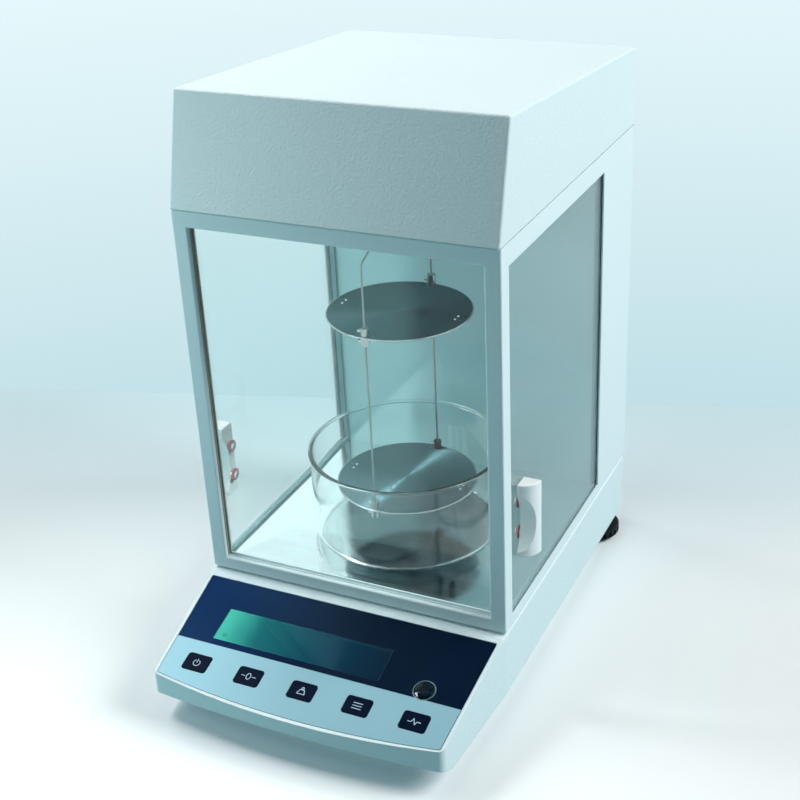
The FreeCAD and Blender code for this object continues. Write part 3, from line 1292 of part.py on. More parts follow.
def cover_hull(label, inset, drop):
    """The top cover's outer form, or with an inset the space inside it."""
    body = new_body(label)
    roof_front, roof_rear = "crown + cover_height", "crown + cover_height - cover_fall"
    trace(new_sketch(body, "YZ_Plane", f"{label}_side"), [
        (f"front - cover_overhang + {inset}", f"cover_low - {drop}"),
        (f"front + cover_back - {inset}", f"cover_low - {drop}"),
        (f"front + cover_back - {inset}", f"{roof_rear} - {inset}"),
        (f"front + cover_lean + {inset}", f"{roof_front} - {inset}")])
    return body, pad(body, body.Group[-1], f"2 * (half - cover_step - ({inset}))", both_ways=True)


def make_top_cover():
    body, solid = cover_hull("cover_form", "0", "0")
    low = value("cover_low")
    soften(body, solid, lambda box: box.ZMax > low + SMALL, "cover_round")
    inside = cover_hull("cover_space", "cover_wall", "overrun")[0]
    shell = cut("cover_shell", body, inside)
    limit = cover_hull("cover_limit", "cover_wall / 2", "cover_seam")[0]
    posts = common("cover_posts", group("post_bars", *[
        bar(f"post_{number}", "z", "post_radius", place, ("crown", "crown + cover_height"))
        for number, place in enumerate(top_screw_places())]), limit)
    pilots = [bar(f"post_pilot_{number}", "z", "top_screw_radius", place,
                  ("crown - overrun", "crown - ceiling + top_screw_cap + top_screw_length"))
              for number, place in enumerate(top_screw_places())]
    node("top_cover", cut("cover_cut", join("cover_whole", shell, posts), *pilots))
    screws = []
    for number, place in enumerate(top_screw_places()):
        seat = "crown - ceiling + top_screw_cap"
        shank = bar(f"top_shank_{number}", "z", "top_screw_radius", place, rise(seat, "top_screw_length"))
        cap = bar(f"top_cap_{number}", "z", "top_screw_head", place, ("crown - ceiling", seat))
        screws.append(join(f"top_screw_{number}", shank, cap))
    node("top_cover_screws", group("top_screws", *screws))


def make_dish():
    wall, rim, turn_in = "dish_radius - dish_wall", "dish_height", "dish_radius - dish_corner"
    node("glass_dish", turned("dish", [
        ("0", "0"), (turn_in, "0"), ("dish_radius", "dish_corner", "dish_corner", 1),
        ("dish_radius", f"{rim} - 2 * dish_bead"),
        ("dish_radius + dish_bead", f"{rim} - dish_bead", "dish_bead", 1),
        ("dish_radius", rim, "dish_bead", 1), (wall, rim), (wall, "dish_corner"),
        (turn_in, "dish_wall", "dish_corner - dish_wall", -1), ("0", "dish_wall")],
        "0", "hang", "plinth + floor_rise"))


make_base_housing()
make_base_plate()
make_base_screws()
make_front_feet()
make_overlay()
make_display()
make_switches()
make_keys()
make_level()
make_main_board()
make_transformer()
make_power_inlet()
make_data_port()
make_front_frame()
make_front_glass()
for side_name, side_sign in SIDES:
    make_levelling_foot(side_name, side_sign)
    make_side_panel(side_name, side_sign)
    make_track(side_name, side_sign)
    make_door(side_name, side_sign)
make_top_plate()
make_rear_parts()
make_chamber_floor()
make_handle_fittings()
make_wire()
make_pan("upper_pan", "upper_pan_height")
make_pan("lower_pan", "lower_pan_height")
make_collars()
make_load_carrier()
make_force_beam()
make_sensor_frame()
make_magnet_pot()
make_top_cover()
make_dish()
doc.recompute()

for thing in doc.Objects:
    if "Invalid" in thing.State or "Error" in thing.State:
        raise RuntimeError(f"{thing.Label} did not build: {thing.State}")
for thing in NODES:
    if thing.Shape.isNull() or not thing.Shape.isValid() or not thing.Shape.Solids:
        raise RuntimeError(f"{thing.Label} has no sound shape")
for thing in NODES:
    thing.Shape.exportStep(f"parts/{thing.Label}.step")
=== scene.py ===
"""Dresses the benchtop density meter: finishes for its parts, and small pieces that go on them."""

import math

import bpy
from bpy.props import FloatProperty, FloatVectorProperty, IntProperty, PointerProperty
from mathutils import Matrix, Vector


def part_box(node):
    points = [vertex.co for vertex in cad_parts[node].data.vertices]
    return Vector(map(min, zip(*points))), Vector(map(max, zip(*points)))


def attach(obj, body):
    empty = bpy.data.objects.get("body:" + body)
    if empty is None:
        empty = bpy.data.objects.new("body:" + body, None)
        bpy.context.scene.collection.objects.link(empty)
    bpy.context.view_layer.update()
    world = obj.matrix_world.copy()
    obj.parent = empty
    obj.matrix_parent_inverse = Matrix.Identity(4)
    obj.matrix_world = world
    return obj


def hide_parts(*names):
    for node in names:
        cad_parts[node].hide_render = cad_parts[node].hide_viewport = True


bl_info = {
    "name": "Benchtop density meter",
    "version": (1, 0, 0),
    "blender": (4, 5, 0),
    "location": "View3D > Sidebar > Density meter",
    "description": "Finishes and small pieces of an electronic density balance",
    "category": "Object",
}

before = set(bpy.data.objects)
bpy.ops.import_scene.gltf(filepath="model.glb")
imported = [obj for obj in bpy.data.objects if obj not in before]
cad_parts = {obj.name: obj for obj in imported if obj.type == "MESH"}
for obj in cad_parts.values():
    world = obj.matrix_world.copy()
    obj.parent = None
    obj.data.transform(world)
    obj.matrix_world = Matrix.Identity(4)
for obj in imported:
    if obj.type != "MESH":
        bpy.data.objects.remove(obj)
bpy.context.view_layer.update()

SIDES = (("left", -1), ("right", 1))
KEYS = ("power_key", "tare_key", "calibration_key", "mode_key", "test_key")
MM = 0.001
TINY = 1e-5
CONSOLE_SLOPE = math.radians(15.8)
SLOPE_TOP = Vector((0.0, -0.08065, 0.0585))


def in_mm(*pairs):
    """Pairs of millimetres, as metres."""
    return [(radius * MM, height * MM) for radius, height in pairs]


def low(node):
    return Vector(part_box(node)[0])


def high(node):
    return Vector(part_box(node)[1])


def middle(node):
    return (low(node) + high(node)) / 2


class MeterColours(bpy.types.PropertyGroup):
    housing: FloatVectorProperty(name="Housing", description="Paint of the base and of the top cover",
                                 subtype="COLOR", size=3, default=(0.70, 0.83, 0.85))
    shield: FloatVectorProperty(name="Shield", description="Paint of the draught shield's frame",
                                subtype="COLOR", size=3, default=(0.72, 0.85, 0.87))
    navy: FloatVectorProperty(name="Navy print", description="Dark upper part of the console's overlay",
                              subtype="COLOR", size=3, default=(0.0010, 0.006, 0.022))
    strip: FloatVectorProperty(name="Key strip", description="Pale part of the overlay round the keys",
                               subtype="COLOR", size=3, default=(0.275, 0.485, 0.56))
    key: FloatVectorProperty(name="Key", description="Face of a key",
                             subtype="COLOR", size=3, default=(0.0010, 0.006, 0.022))
    mark: FloatVectorProperty(name="Key mark", description="Print on a key",
                              subtype="COLOR", size=3, default=(0.45, 0.62, 0.76))
    glass: FloatVectorProperty(name="Pane", description="Tint of the panes",
                               subtype="COLOR", size=3, default=(0.965, 0.99, 0.988))
    wall: FloatVectorProperty(name="Rear wall", description="Back-painted glass behind the chamber",
                              subtype="COLOR", size=3, default=(0.24, 0.46, 0.48))
    steel: FloatVectorProperty(name="Steel", description="Polished steel of the chamber's floor",
                               subtype="COLOR", size=3, default=(0.77, 0.85, 0.86))


class MeterSizes(bpy.types.PropertyGroup):
    edge: FloatProperty(name="Edge", description="Rounding that the light shows on a painted edge",
                        default=0.6 * MM, unit="LENGTH", subtype="DISTANCE")
    floor_edge: FloatVectorProperty(name="Floor's edge", description="A place on the edge at the wall",
                                    size=3, default=(0.0, 0.3455, 0.0), subtype="TRANSLATION")
    wall_turn: FloatProperty(name="Wall", description="Turn of the wall behind the floor",
                             default=math.radians(17.2), subtype="ANGLE")
    dish_turns: IntProperty(name="Dish facets", description="Facets round the glass dish", default=160)
    small_turns: IntProperty(name="Facets", description="Facets round a small turned piece", default=40)
    strip_down: FloatProperty(name="Strip", description="Top of the slope to the pale strip",
                              default=57.7 * MM, unit="LENGTH", subtype="DISTANCE")
    print_lift: FloatProperty(name="Print", description="How far a printed mark stands out",
                              default=0.04 * MM, unit="LENGTH", subtype="DISTANCE")


# Materials

FINISHES = {}


class Tree:
    """The node tree of a material or of the world, with one line for each node."""

    def __init__(self, owner, output="ShaderNodeOutputMaterial"):
        owner.use_nodes = True
        self.tree = owner.node_tree
        self.tree.nodes.clear()
        self.output = self.tree.nodes.new(output)

    def node(self, kind, inputs=None, **settings):
        made = self.tree.nodes.new(kind)
        for name, setting in settings.items():
            setattr(made, name, setting)
        for name, given in (inputs or {}).items():
            if isinstance(given, bpy.types.NodeSocket):
                self.tree.links.new(given, made.inputs[name])
            else:
                made.inputs[name].default_value = given
        return made

    def place(self, scale=(1, 1, 1), shift=(0, 0, 0)):
        """The point on the piece, in metres, seen from shift and then stretched by scale."""
        point = self.node("ShaderNodeTexCoord").outputs["Object"]
        moved = self.node("ShaderNodeMapping", {"Vector": point, "Location": [-s for s in shift]})
        return self.node("ShaderNodeMapping", {"Vector": moved.outputs[0], "Scale": scale}).outputs[0]

    def noise(self, place, scale, detail=3.0, rough=0.55):
        inputs = {"Vector": place, "Scale": scale, "Detail": detail, "Roughness": rough}
        return self.node("ShaderNodeTexNoise", inputs).outputs["Fac"]

    def maths(self, operation, first, second=0.0, third=None):
        inputs = {0: first, 1: second}
        if third is not None:
            inputs[2] = third
        return self.node("ShaderNodeMath", inputs, operation=operation).outputs[0]

    def range(self, given, start, end, least, most, smooth=False):
        inputs = {"Value": given, "From Min": start, "From Max": end, "To Min": least, "To Max": most}
        kind = "SMOOTHSTEP" if smooth else "LINEAR"
        return self.node("ShaderNodeMapRange", inputs, interpolation_type=kind).outputs[0]

    def ramp(self, given, stops):
        made = self.node("ShaderNodeValToRGB", {"Fac": given})
        marks = made.color_ramp.elements
        while len(marks) < len(stops):
            marks.new(0.5)
        for mark, (place, colour) in zip(marks, stops):
            mark.position, mark.color = place, (*colour, 1)
        return made.outputs[0]

    def blend(self, share, first, second):
        made = self.node("ShaderNodeMix", {0: share}, data_type="RGBA")
        for socket, given in ((made.inputs[6], first), (made.inputs[7], second)):
            if isinstance(given, bpy.types.NodeSocket):
                self.tree.links.new(given, socket)
            else:
                socket.default_value = (*given, 1)
        return made.outputs[2]

    def vary(self, colour, place, scale, spread):
        """The colour, a little darker here and paler there."""
        dark = [c * (1 - spread) for c in colour]
        pale = [min(1.0, c * (1 + spread)) for c in colour]
        return self.blend(self.noise(place, scale), dark, pale)

    def rounded(self, radius):
        return self.node("ShaderNodeBevel", {"Radius": radius}, samples=4).outputs[0]

    def bump(self, height, depth, strength=1.0, normal=None):
        inputs = {"Height": height, "Distance": depth, "Strength": strength}
        if normal is not None:
            inputs["Normal"] = normal
        return self.node("ShaderNodeBump", inputs).outputs[0]

    def mixed(self, share, first, second):
        """Two shaders in one, by a share of the second."""
        return self.node("ShaderNodeMixShader", {0: share, 1: first.outputs[0], 2: second.outputs[0]})

    def show(self, shader):
        self.tree.links.new(shader.outputs[0], self.output.inputs[0])

    def principled(self, inputs):
        self.show(self.node("ShaderNodeBsdfPrincipled", inputs))


def new_finish(name):
    FINISHES[name] = bpy.data.materials.new(name)
    return Tree(FINISHES[name])


def paint(name, colour, edge, rough=0.42, grain=900.0, depth=0.05 * MM):
    """Baked powder paint with its fine orange-peel skin."""
    made = new_finish(name)
    place = made.place()
    skin = made.noise(place, grain, 2.0)
    normal = made.bump(skin, depth, 0.6, made.rounded(edge))
    cloud = made.noise(place, 9.0, 4.0)
    made.principled({
        "Base Color": made.vary(colour, place, 14.0, 0.025),
        "Roughness": made.range(made.maths("ADD", cloud, skin), 0.6, 1.4, rough - 0.05, rough + 0.09),
        "Normal": normal, "Specular IOR Level": 0.45,
    })


def plastic(name, colour, rough=0.4, edge=0.4 * MM, grain=1500.0, depth=0.02 * MM, coat=0.0,
            spread=0.04, shine=0.5):
    """Moulded plastic or rubber."""
    made = new_finish(name)
    place = made.place()
    skin = made.noise(place, grain, 2.0)
    made.principled({
        "Base Color": made.vary(colour, place, 60.0, spread),
        "Roughness": made.range(made.noise(place, 35.0, 4.0), 0.3, 0.7, rough - 0.06, rough + 0.08),
        "Normal": made.bump(skin, depth, 0.6, made.rounded(edge)), "Coat Weight": coat,
        "Specular IOR Level": shine,
    })


def two_tone(name, dark, pale, border, both_sides=False):
    """A strip that is dark up to a border across the part, and pale beyond it."""
    made = new_finish(name)
    place = made.place()
    across = made.node("ShaderNodeSeparateXYZ", {0: place}).outputs[0]
    if both_sides:
        across = made.maths("ABSOLUTE", across)
    beyond = made.range(across, border - 0.4 * MM, border, 0.0, 1.0)
    dark_part, pale_part = made.vary(dark, place, 60.0, 0.25), made.vary(pale, place, 60.0, 0.04)
    made.principled({
        "Base Color": made.blend(beyond, dark_part, pale_part),
        "Roughness": made.range(made.noise(place, 35.0, 4.0), 0.3, 0.7, 0.44, 0.58),
        "Normal": made.bump(made.noise(place, 1500.0, 2.0), 0.02 * MM, 0.6, made.rounded(0.2 * MM)),
        "Specular IOR Level": 0.3,
    })


def metal(name, colour, rough=0.22, stretch=(1, 1, 1), grain=1400.0, depth=0.004 * MM):
    """Bare metal with the fine lines that its last working left; stretch draws the lines out."""
    edge = 0.15 * MM
    made = new_finish(name)
    lines = made.noise(made.place(stretch), grain, 4.0, 0.6)
    place = made.place()
    made.principled({
        "Base Color": made.vary(colour, place, 40.0, 0.05),
        "Metallic": 1.0,
        "Roughness": made.range(lines, 0.3, 0.7, rough - 0.06, rough + 0.10),
        "Normal": made.bump(lines, depth, 0.5, made.rounded(edge)),
    })


def pane(name, tint, smear=0.012, edge_tint=None, flat_axis=None, ior=1.46):
    """Clear glass that lets the lamps through; its ground edges may take a tint of their own."""
    made = new_finish(name)
    place = made.place()
    colour = made.vary(tint, place, 7.0, 0.006)
    if flat_axis is not None:
        normal = made.node("ShaderNodeTexCoord").outputs["Normal"]
        parts = made.node("ShaderNodeSeparateXYZ", {0: normal}).outputs
        face = made.maths("ABSOLUTE", parts[flat_axis])
        colour = made.blend(made.range(face, 0.6, 0.8, 0.0, 1.0), edge_tint, colour)
    glass = made.node("ShaderNodeBsdfPrincipled", {
        "Base Color": colour, "Transmission Weight": 1.0, "IOR": ior,
        "Roughness": made.range(made.noise(place, 22.0, 4.0), 0.55, 0.8, 0.0, smear),
    })
    through = made.node("ShaderNodeBsdfTransparent", {"Color": (*(math.sqrt(c) for c in tint), 1)})
    lamp = made.node("ShaderNodeLightPath").outputs["Is Shadow Ray"]
    made.show(made.mixed(lamp, glass, through))


def turned_steel(name, colour, centre, rough):
    """Steel turned on a lathe: fine rings round the centre, which draw the light into a wedge."""
    made = new_finish(name)
    parts = made.node("ShaderNodeSeparateXYZ", {0: made.place(shift=centre)})
    x, y = parts.outputs[0], parts.outputs[1]
    flat = made.node("ShaderNodeCombineXYZ", {0: x, 1: y})
    radius = made.node("ShaderNodeVectorMath", {0: flat.outputs[0]}, operation="LENGTH")
    ring = made.node("ShaderNodeCombineXYZ", {0: radius.outputs["Value"]})
    lines = made.noise(ring.outputs[0], 1900.0, 4.0, 0.7)
    along = made.node("ShaderNodeVectorTransform", {0: flat.outputs[0]}, vector_type="VECTOR",
                      convert_from="OBJECT", convert_to="WORLD")
    made.principled({
        "Base Color": made.vary(colour, made.place(), 30.0, 0.03),
        "Metallic": 1.0, "Anisotropic": 1.0,
        "Roughness": made.range(lines, 0.3, 0.7, rough - 0.04, rough + 0.06),
        "Tangent": along.outputs[0],
    })


def down_slope(made):
    """How far a point lies to the right, and how far down the console's slope."""
    place = made.place(shift=SLOPE_TOP)
    across, deep, tall = made.node("ShaderNodeSeparateXYZ", {0: place}).outputs
    forward = made.maths("MULTIPLY", deep, -math.cos(CONSOLE_SLOPE))
    return across, made.maths("MULTIPLY_ADD", tall, -math.sin(CONSOLE_SLOPE), forward)


def printed_film(name, navy, strip, border):
    """The console's film: navy at the top and at its cut edge, pale below the border. Both grow paler
    towards the left end: a painted sheen.
    """
    made = new_finish(name)
    place = made.place()
    # Painted sheen: the navy and the pale strip are made paler towards the film's left end.
    left_end, painted_sheen_fades_at = -105 * MM, 20 * MM
    navy_painted_sheen, strip_painted_sheen = 4.5, 1.4
    across, down = down_slope(made)
    below = made.range(down, border - 0.1 * MM, border + 0.1 * MM, 0.0, 1.0)
    to_left = made.range(across, left_end, painted_sheen_fades_at, 1.0, 0.0, smooth=True)
    upper = made.blend(to_left, made.vary(navy, place, 25.0, 0.10), [navy_painted_sheen * c for c in navy])
    lower = made.blend(to_left, made.vary(strip, place, 25.0, 0.03), [strip_painted_sheen * c for c in strip])
    normal = made.node("ShaderNodeTexCoord").outputs["Normal"]
    square = (0, -math.sin(CONSOLE_SLOPE), math.cos(CONSOLE_SLOPE))
    lean = made.node("ShaderNodeVectorMath", {0: normal, 1: square}, operation="DOT_PRODUCT")
    on_face = made.range(lean.outputs["Value"], 0.80, 0.95, 0.0, 1.0)
    colour = made.blend(on_face, navy, made.blend(below, upper, lower))
    weave = made.noise(place, 2600.0, 2.0)
    cloud = made.noise(place, 12.0, 3.0)
    made.principled({
        "Base Color": colour,
        "Roughness": made.range(made.maths("MULTIPLY_ADD", weave, 0.4, cloud), 0.5, 1.0, 0.13, 0.24),
        "Normal": made.bump(weave, 0.006 * MM, 0.4, made.rounded(0.2 * MM)),
        "Specular IOR Level": 0.2, "Specular Tint": (0.45, 0.8, 1.0, 1),
    })


def liquid_crystal(name):
    """The display's glass over its green light, which fades from the left end to the right. The light
    is the backlight, and its bright left end is partly a painted reflection.
    """
    made = new_finish(name)
    # The glow is the backlight, and its bright left end is partly a painted reflection of the window.
    painted_glare_end, dark_end, ragged = -70 * MM, 50 * MM, 14 * MM
    across, _ = down_slope(made)
    wander = made.noise(made.place(), 45.0, 2.0)
    along = made.maths("MULTIPLY_ADD", wander, ragged, across)
    share = made.range(along, painted_glare_end, dark_end, 0.0, 1.0)
    glow_and_painted_glare = made.ramp(share, [
        (0.0, (0.10, 0.46, 0.34)), (0.07, (0.06, 0.34, 0.26)), (0.22, (0.012, 0.11, 0.115)),
        (0.5, (0.005, 0.052, 0.075)), (0.8, (0.002, 0.016, 0.035)), (1.0, (0.0012, 0.008, 0.02))])
    made.principled({
        "Base Color": (0.001, 0.006, 0.010, 1), "Roughness": made.range(wander, 0.3, 0.7, 0.10, 0.18),
        "Specular IOR Level": 0.1, "Emission Color": glow_and_painted_glare, "Emission Strength": 2.1,
    })


def circuit_board(name, colour, trace):
    """Solder mask over copper tracks that run along and across the board."""
    made = new_finish(name)
    place = made.place((260, 260, 260))
    lanes = made.node("ShaderNodeTexBrick", {
        "Vector": place, "Scale": 1.0, "Mortar Size": 0.06, "Brick Width": 1.7, "Row Height": 0.55,
    }).outputs["Fac"]
    copper = made.maths("MULTIPLY", lanes, made.range(made.noise(place, 0.35), 0.45, 0.55, 0.0, 1.0))
    made.principled({
        "Base Color": made.blend(copper, made.vary(colour, place, 1.0, 0.08), trace),
        "Roughness": made.range(made.noise(place, 3.0), 0.3, 0.7, 0.25, 0.4),
        "Normal": made.bump(copper, 0.03 * MM, 0.6),
    })


def laminations(name, colour, pitch):
    """A stack of thin steel sheets."""
    made = new_finish(name)
    parts = made.node("ShaderNodeSeparateXYZ", {0: made.place()})
    wave = made.maths("PINGPONG", parts.outputs[1], pitch)
    groove = made.range(wave, 0.0, pitch * 0.25, 0.0, 1.0)
    made.principled({
        "Base Color": made.vary(colour, made.place(), 90.0, 0.15), "Metallic": 0.9,
        "Roughness": made.range(made.noise(made.place(), 300.0), 0.3, 0.7, 0.38, 0.55),
        "Normal": made.bump(groove, 0.1 * MM, 0.7),
    })


def windings(name, colour, wire):
    """Enamelled wire, laid turn on turn up the coil."""
    made = new_finish(name)
    parts = made.node("ShaderNodeSeparateXYZ", {0: made.place()})
    wave = made.maths("PINGPONG", parts.outputs[2], wire)
    made.principled({
        "Base Color": made.vary(colour, made.place(), 200.0, 0.12), "Metallic": 0.85,
        "Roughness": made.range(made.noise(made.place(), 400.0), 0.3, 0.7, 0.22, 0.36),
        "Normal": made.bump(made.maths("SQRT", wave), 0.4 * MM, 0.8), "Coat Weight": 0.4,
    })


def dress(material, *nodes):
    """Puts a material on CAD nodes whose shape is right as it is."""
    for name in nodes:
        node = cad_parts[name]
        if not node.data.materials:
            node.data.materials.append(FINISHES[material])
        for slot in node.material_slots:
            slot.material = FINISHES[material]


# Modelling

def clear():
    """Goes back to object mode with nothing selected, because operators act on the selection."""
    if bpy.context.object is not None and bpy.context.object.mode != "OBJECT":
        bpy.ops.object.mode_set(mode="OBJECT")
    bpy.ops.object.select_all(action="DESELECT")


def edit():
    bpy.ops.object.mode_set(mode="EDIT")
    bpy.ops.mesh.select_all(action="SELECT")


def settle(piece, matrix=None):
    """Moves a piece to its place and puts that place in its mesh, with its faces pointing out."""
    clear()
    piece.select_set(True)
    bpy.context.view_layer.objects.active = piece
    if matrix is not None:
        piece.matrix_world = matrix @ piece.matrix_world
    bpy.context.view_layer.update()
    bpy.ops.object.transform_apply(location=True, rotation=True, scale=True)
    edit()
    bpy.ops.mesh.remove_doubles(threshold=TINY / 10)
    bpy.ops.mesh.normals_make_consistent(inside=False)
    bpy.ops.object.mode_set(mode="OBJECT")
    bpy.ops.object.shade_smooth_by_angle(angle=math.radians(32))
    return piece


def turned(name, profile, facets, filled=True):
    """A piece turned about Z. The profile lists its (radius, height) pairs in order."""
    (radius, height), *rest = profile
    clear()
    bpy.ops.mesh.primitive_circle_add(vertices=facets, radius=radius, location=(0, 0, 0),
                                      fill_type="TRIFAN" if filled else "NOTHING")
    piece = bpy.context.object
    piece.name = name
    edit()
    bpy.ops.transform.translate(value=(0, 0, height))
    if filled:
        bpy.ops.mesh.region_to_loop()
    for next_radius, next_height in rest:
        bpy.ops.mesh.extrude_edges_move(TRANSFORM_OT_translate={"value": (0, 0, next_height - height)})
        if next_radius < TINY:
            bpy.ops.mesh.merge(type="CENTER")
            break
        share = next_radius / radius
        bpy.ops.transform.resize(value=(share, share, 1), center_override=(0, 0, next_height))
        radius, height = next_radius, next_height
    bpy.ops.object.mode_set(mode="OBJECT")
    return piece


def slab(name, lowest, highest, bevel=0.0, segments=2):
    """A block between two corners, with its edges bevelled."""
    clear()
    lowest, highest = Vector(lowest), Vector(highest)
    bpy.ops.mesh.primitive_cube_add(size=1, location=(lowest + highest) / 2)
    piece = bpy.context.object
    piece.name = name
    piece.scale = highest - lowest
    bpy.ops.object.transform_apply(location=True, rotation=False, scale=True)
    if bevel:
        edit()
        bpy.ops.mesh.bevel(offset=bevel, segments=segments, affect="EDGES")
        bpy.ops.object.mode_set(mode="OBJECT")
    return piece


def ring(name, radius, thick, facets=48, sides=10):
    """A closed ring of round section about Z."""
    angles = [2 * math.pi * step / sides - math.pi / 2 for step in range(sides + 1)]
    profile = [(radius + thick * math.cos(angle), thick * math.sin(angle)) for angle in angles]
    return turned(name, profile, facets, filled=False)


def joined(name, pieces):
    clear()
    for piece in pieces:
        piece.select_set(True)
    bpy.context.view_layer.objects.active = pieces[0]
    if len(pieces) > 1:
        bpy.ops.object.join()
    pieces[0].name = name
    return pieces[0]


def repeated(name, piece, places):
    """Joins copies of a piece, one at each place, and takes the piece itself away."""
    made = []
    for place in places:
        twin = piece.copy()
        twin.data = piece.data.copy()
        bpy.context.collection.objects.link(twin)
        twin.matrix_world = place
        made.append(twin)
    bpy.data.objects.remove(piece)
    return settle(joined(name, made))


def carved(piece, *tools):
    """Cuts tools out of a piece."""
    for tool in tools:
        clear()
        piece.select_set(True)
        bpy.context.view_layer.objects.active = piece
        cut = piece.modifiers.new("cut", "BOOLEAN")
        cut.operation, cut.solver, cut.object = "DIFFERENCE", "EXACT", tool
        bpy.ops.object.modifier_apply(modifier=cut.name)
        bpy.data.objects.remove(tool)
    return piece


def finish(piece, material, body, stands_for=()):
    """Gives a piece its material, its body and the CAD nodes that it stands for."""
    piece.data.materials.clear()
    piece.data.materials.append(FINISHES[material])
    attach(piece, body)
    if stands_for:
        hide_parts(*stands_for)


def on_slope(across, down, lift):
    """A frame on the console: X across, Y up the slope and Z square to it."""
    return (Matrix.Translation(SLOPE_TOP) @ Matrix.Rotation(CONSOLE_SLOPE, 4, "X")
            @ Matrix.Translation((across, -down, lift)))


def facing(point, axis):
    """A frame at a point whose Z runs along an axis."""
    return Matrix.Translation(point) @ Vector(axis).to_track_quat("Z", "Y").to_matrix().to_4x4()


class METER_OT_finishes(bpy.types.Operator):
    """Mixes every paint, metal, plastic and glass"""

    bl_idname = "meter.finishes"
    bl_label = "Mix the finishes"
    bl_options = {"REGISTER", "UNDO"}

    def execute(self, context):
        tint = context.scene.meter_colours
        size = context.scene.meter_sizes
        paint("housing_paint", tint.housing, size.edge, rough=0.44, grain=600.0, depth=0.5 * MM)
        paint("shield_paint", tint.shield, size.edge, rough=0.42, grain=800.0, depth=0.16 * MM)
        metal("steel_sheet", tint.steel, 0.13, (0.012, 1, 1), grain=1500.0, depth=0.0006 * MM)
        metal("zinc_sheet", (0.55, 0.58, 0.60), 0.35)
        metal("polished_steel", (0.46, 0.49, 0.49), 0.16)
        metal("wire_steel", (0.26, 0.30, 0.30), 0.30)
        metal("rivet_steel", (0.80, 0.86, 0.88), 0.25)
        metal("screw_steel", (0.70, 0.72, 0.73), 0.22)
        metal("aluminium_bare", (0.74, 0.76, 0.77), 0.34, stretch=(1, 0.05, 1))
        metal("brass_pin", (0.72, 0.55, 0.28), 0.2)
        metal("level_ring", (0.20, 0.30, 0.30), 0.3)
        laminations("core_steel", (0.22, 0.22, 0.23), pitch=0.35 * MM)
        windings("coil_brass", (0.50, 0.20, 0.06), wire=0.18 * MM)
        # The pans' steel is made dark and teal as painted shade and painted reflection of the chamber;
        # the upper pan's copy is darker still.
        turned_steel("turned_steel", (0.10, 0.20, 0.225), middle("lower_pan"), rough=0.38)
        turned_steel("painted_shade_turned_steel", (0.035, 0.13, 0.155), middle("upper_pan"), rough=0.5)
        plastic("black_rubber", (0.005, 0.006, 0.007), 0.78, edge=0.6 * MM, grain=1800.0,
                depth=0.05 * MM, shine=0.06)
        plastic("black_plastic", (0.009, 0.010, 0.012), 0.46, shine=0.15)
        plastic("white_plastic", (0.90, 0.95, 0.94), 0.34, edge=0.5 * MM, grain=900.0,
                depth=0.01 * MM, coat=0.2, spread=0.012)
        plastic("red_washer", (0.42, 0.02, 0.05), 0.45)
        plastic("seal_dark", (0.003, 0.020, 0.026), 0.7, edge=0.2 * MM, shine=0.08)
        plastic("seal_teal", (0.11, 0.24, 0.26), 0.6, edge=0.2 * MM, shine=0.15)
        plastic("key_navy", tint.key, 0.34, edge=0.3 * MM, grain=2600.0, depth=0.006 * MM, shine=0.04)
        plastic("key_mark", tint.mark, 0.5, edge=0.02 * MM, grain=4000.0, depth=0.002 * MM)
        plastic("switch_black", (0.015, 0.015, 0.016), 0.5)
        plastic("collar_black", (0.012, 0.012, 0.014), 0.4)
        plastic("mark_dark", (0.004, 0.05, 0.05), 0.4)
        plastic("bubble_green", (0.03, 0.09, 0.08), 0.2)
        plastic("wall_glass", tint.wall, 0.12, edge=0.2 * MM, grain=4.0, depth=0.15 * MM, coat=0.15,
                spread=0.015)
        dark_gasket_ends = low("front_glass").x + 2.6 * MM
        two_tone("gasket_olive", (0.34, 0.33, 0.25), (0.62, 0.76, 0.78), dark_gasket_ends)
        groove_ends = low("right_door_glass").x + 1.6 * MM
        two_tone("track_plastic", (0.14, 0.24, 0.26), (0.62, 0.78, 0.80), groove_ends, both_sides=True)
        circuit_board("board_green", (0.010, 0.085, 0.04), (0.03, 0.20, 0.09))
        printed_film("overlay_navy", tint.navy, tint.strip, size.strip_down)
        liquid_crystal("lcd_green")
        ground_edge = (0.25, 0.66, 0.58)
        pane("door_pane", tint.glass, 0.0015, ground_edge, flat_axis=0)
        pane("front_pane", tint.glass, 0.0015, ground_edge, flat_axis=1)
        pane("dish_glass", (0.96, 0.99, 0.985), 0.002, ior=1.36)
        pane("display_pane", (0.36, 0.60, 0.64), 0.0, ior=1.22)
        pane("lens_navy", (0.10, 0.26, 0.42), 0.0)
        pane("vial_green", (0.45, 0.80, 0.30), 0.02)
        return {"FINISHED"}


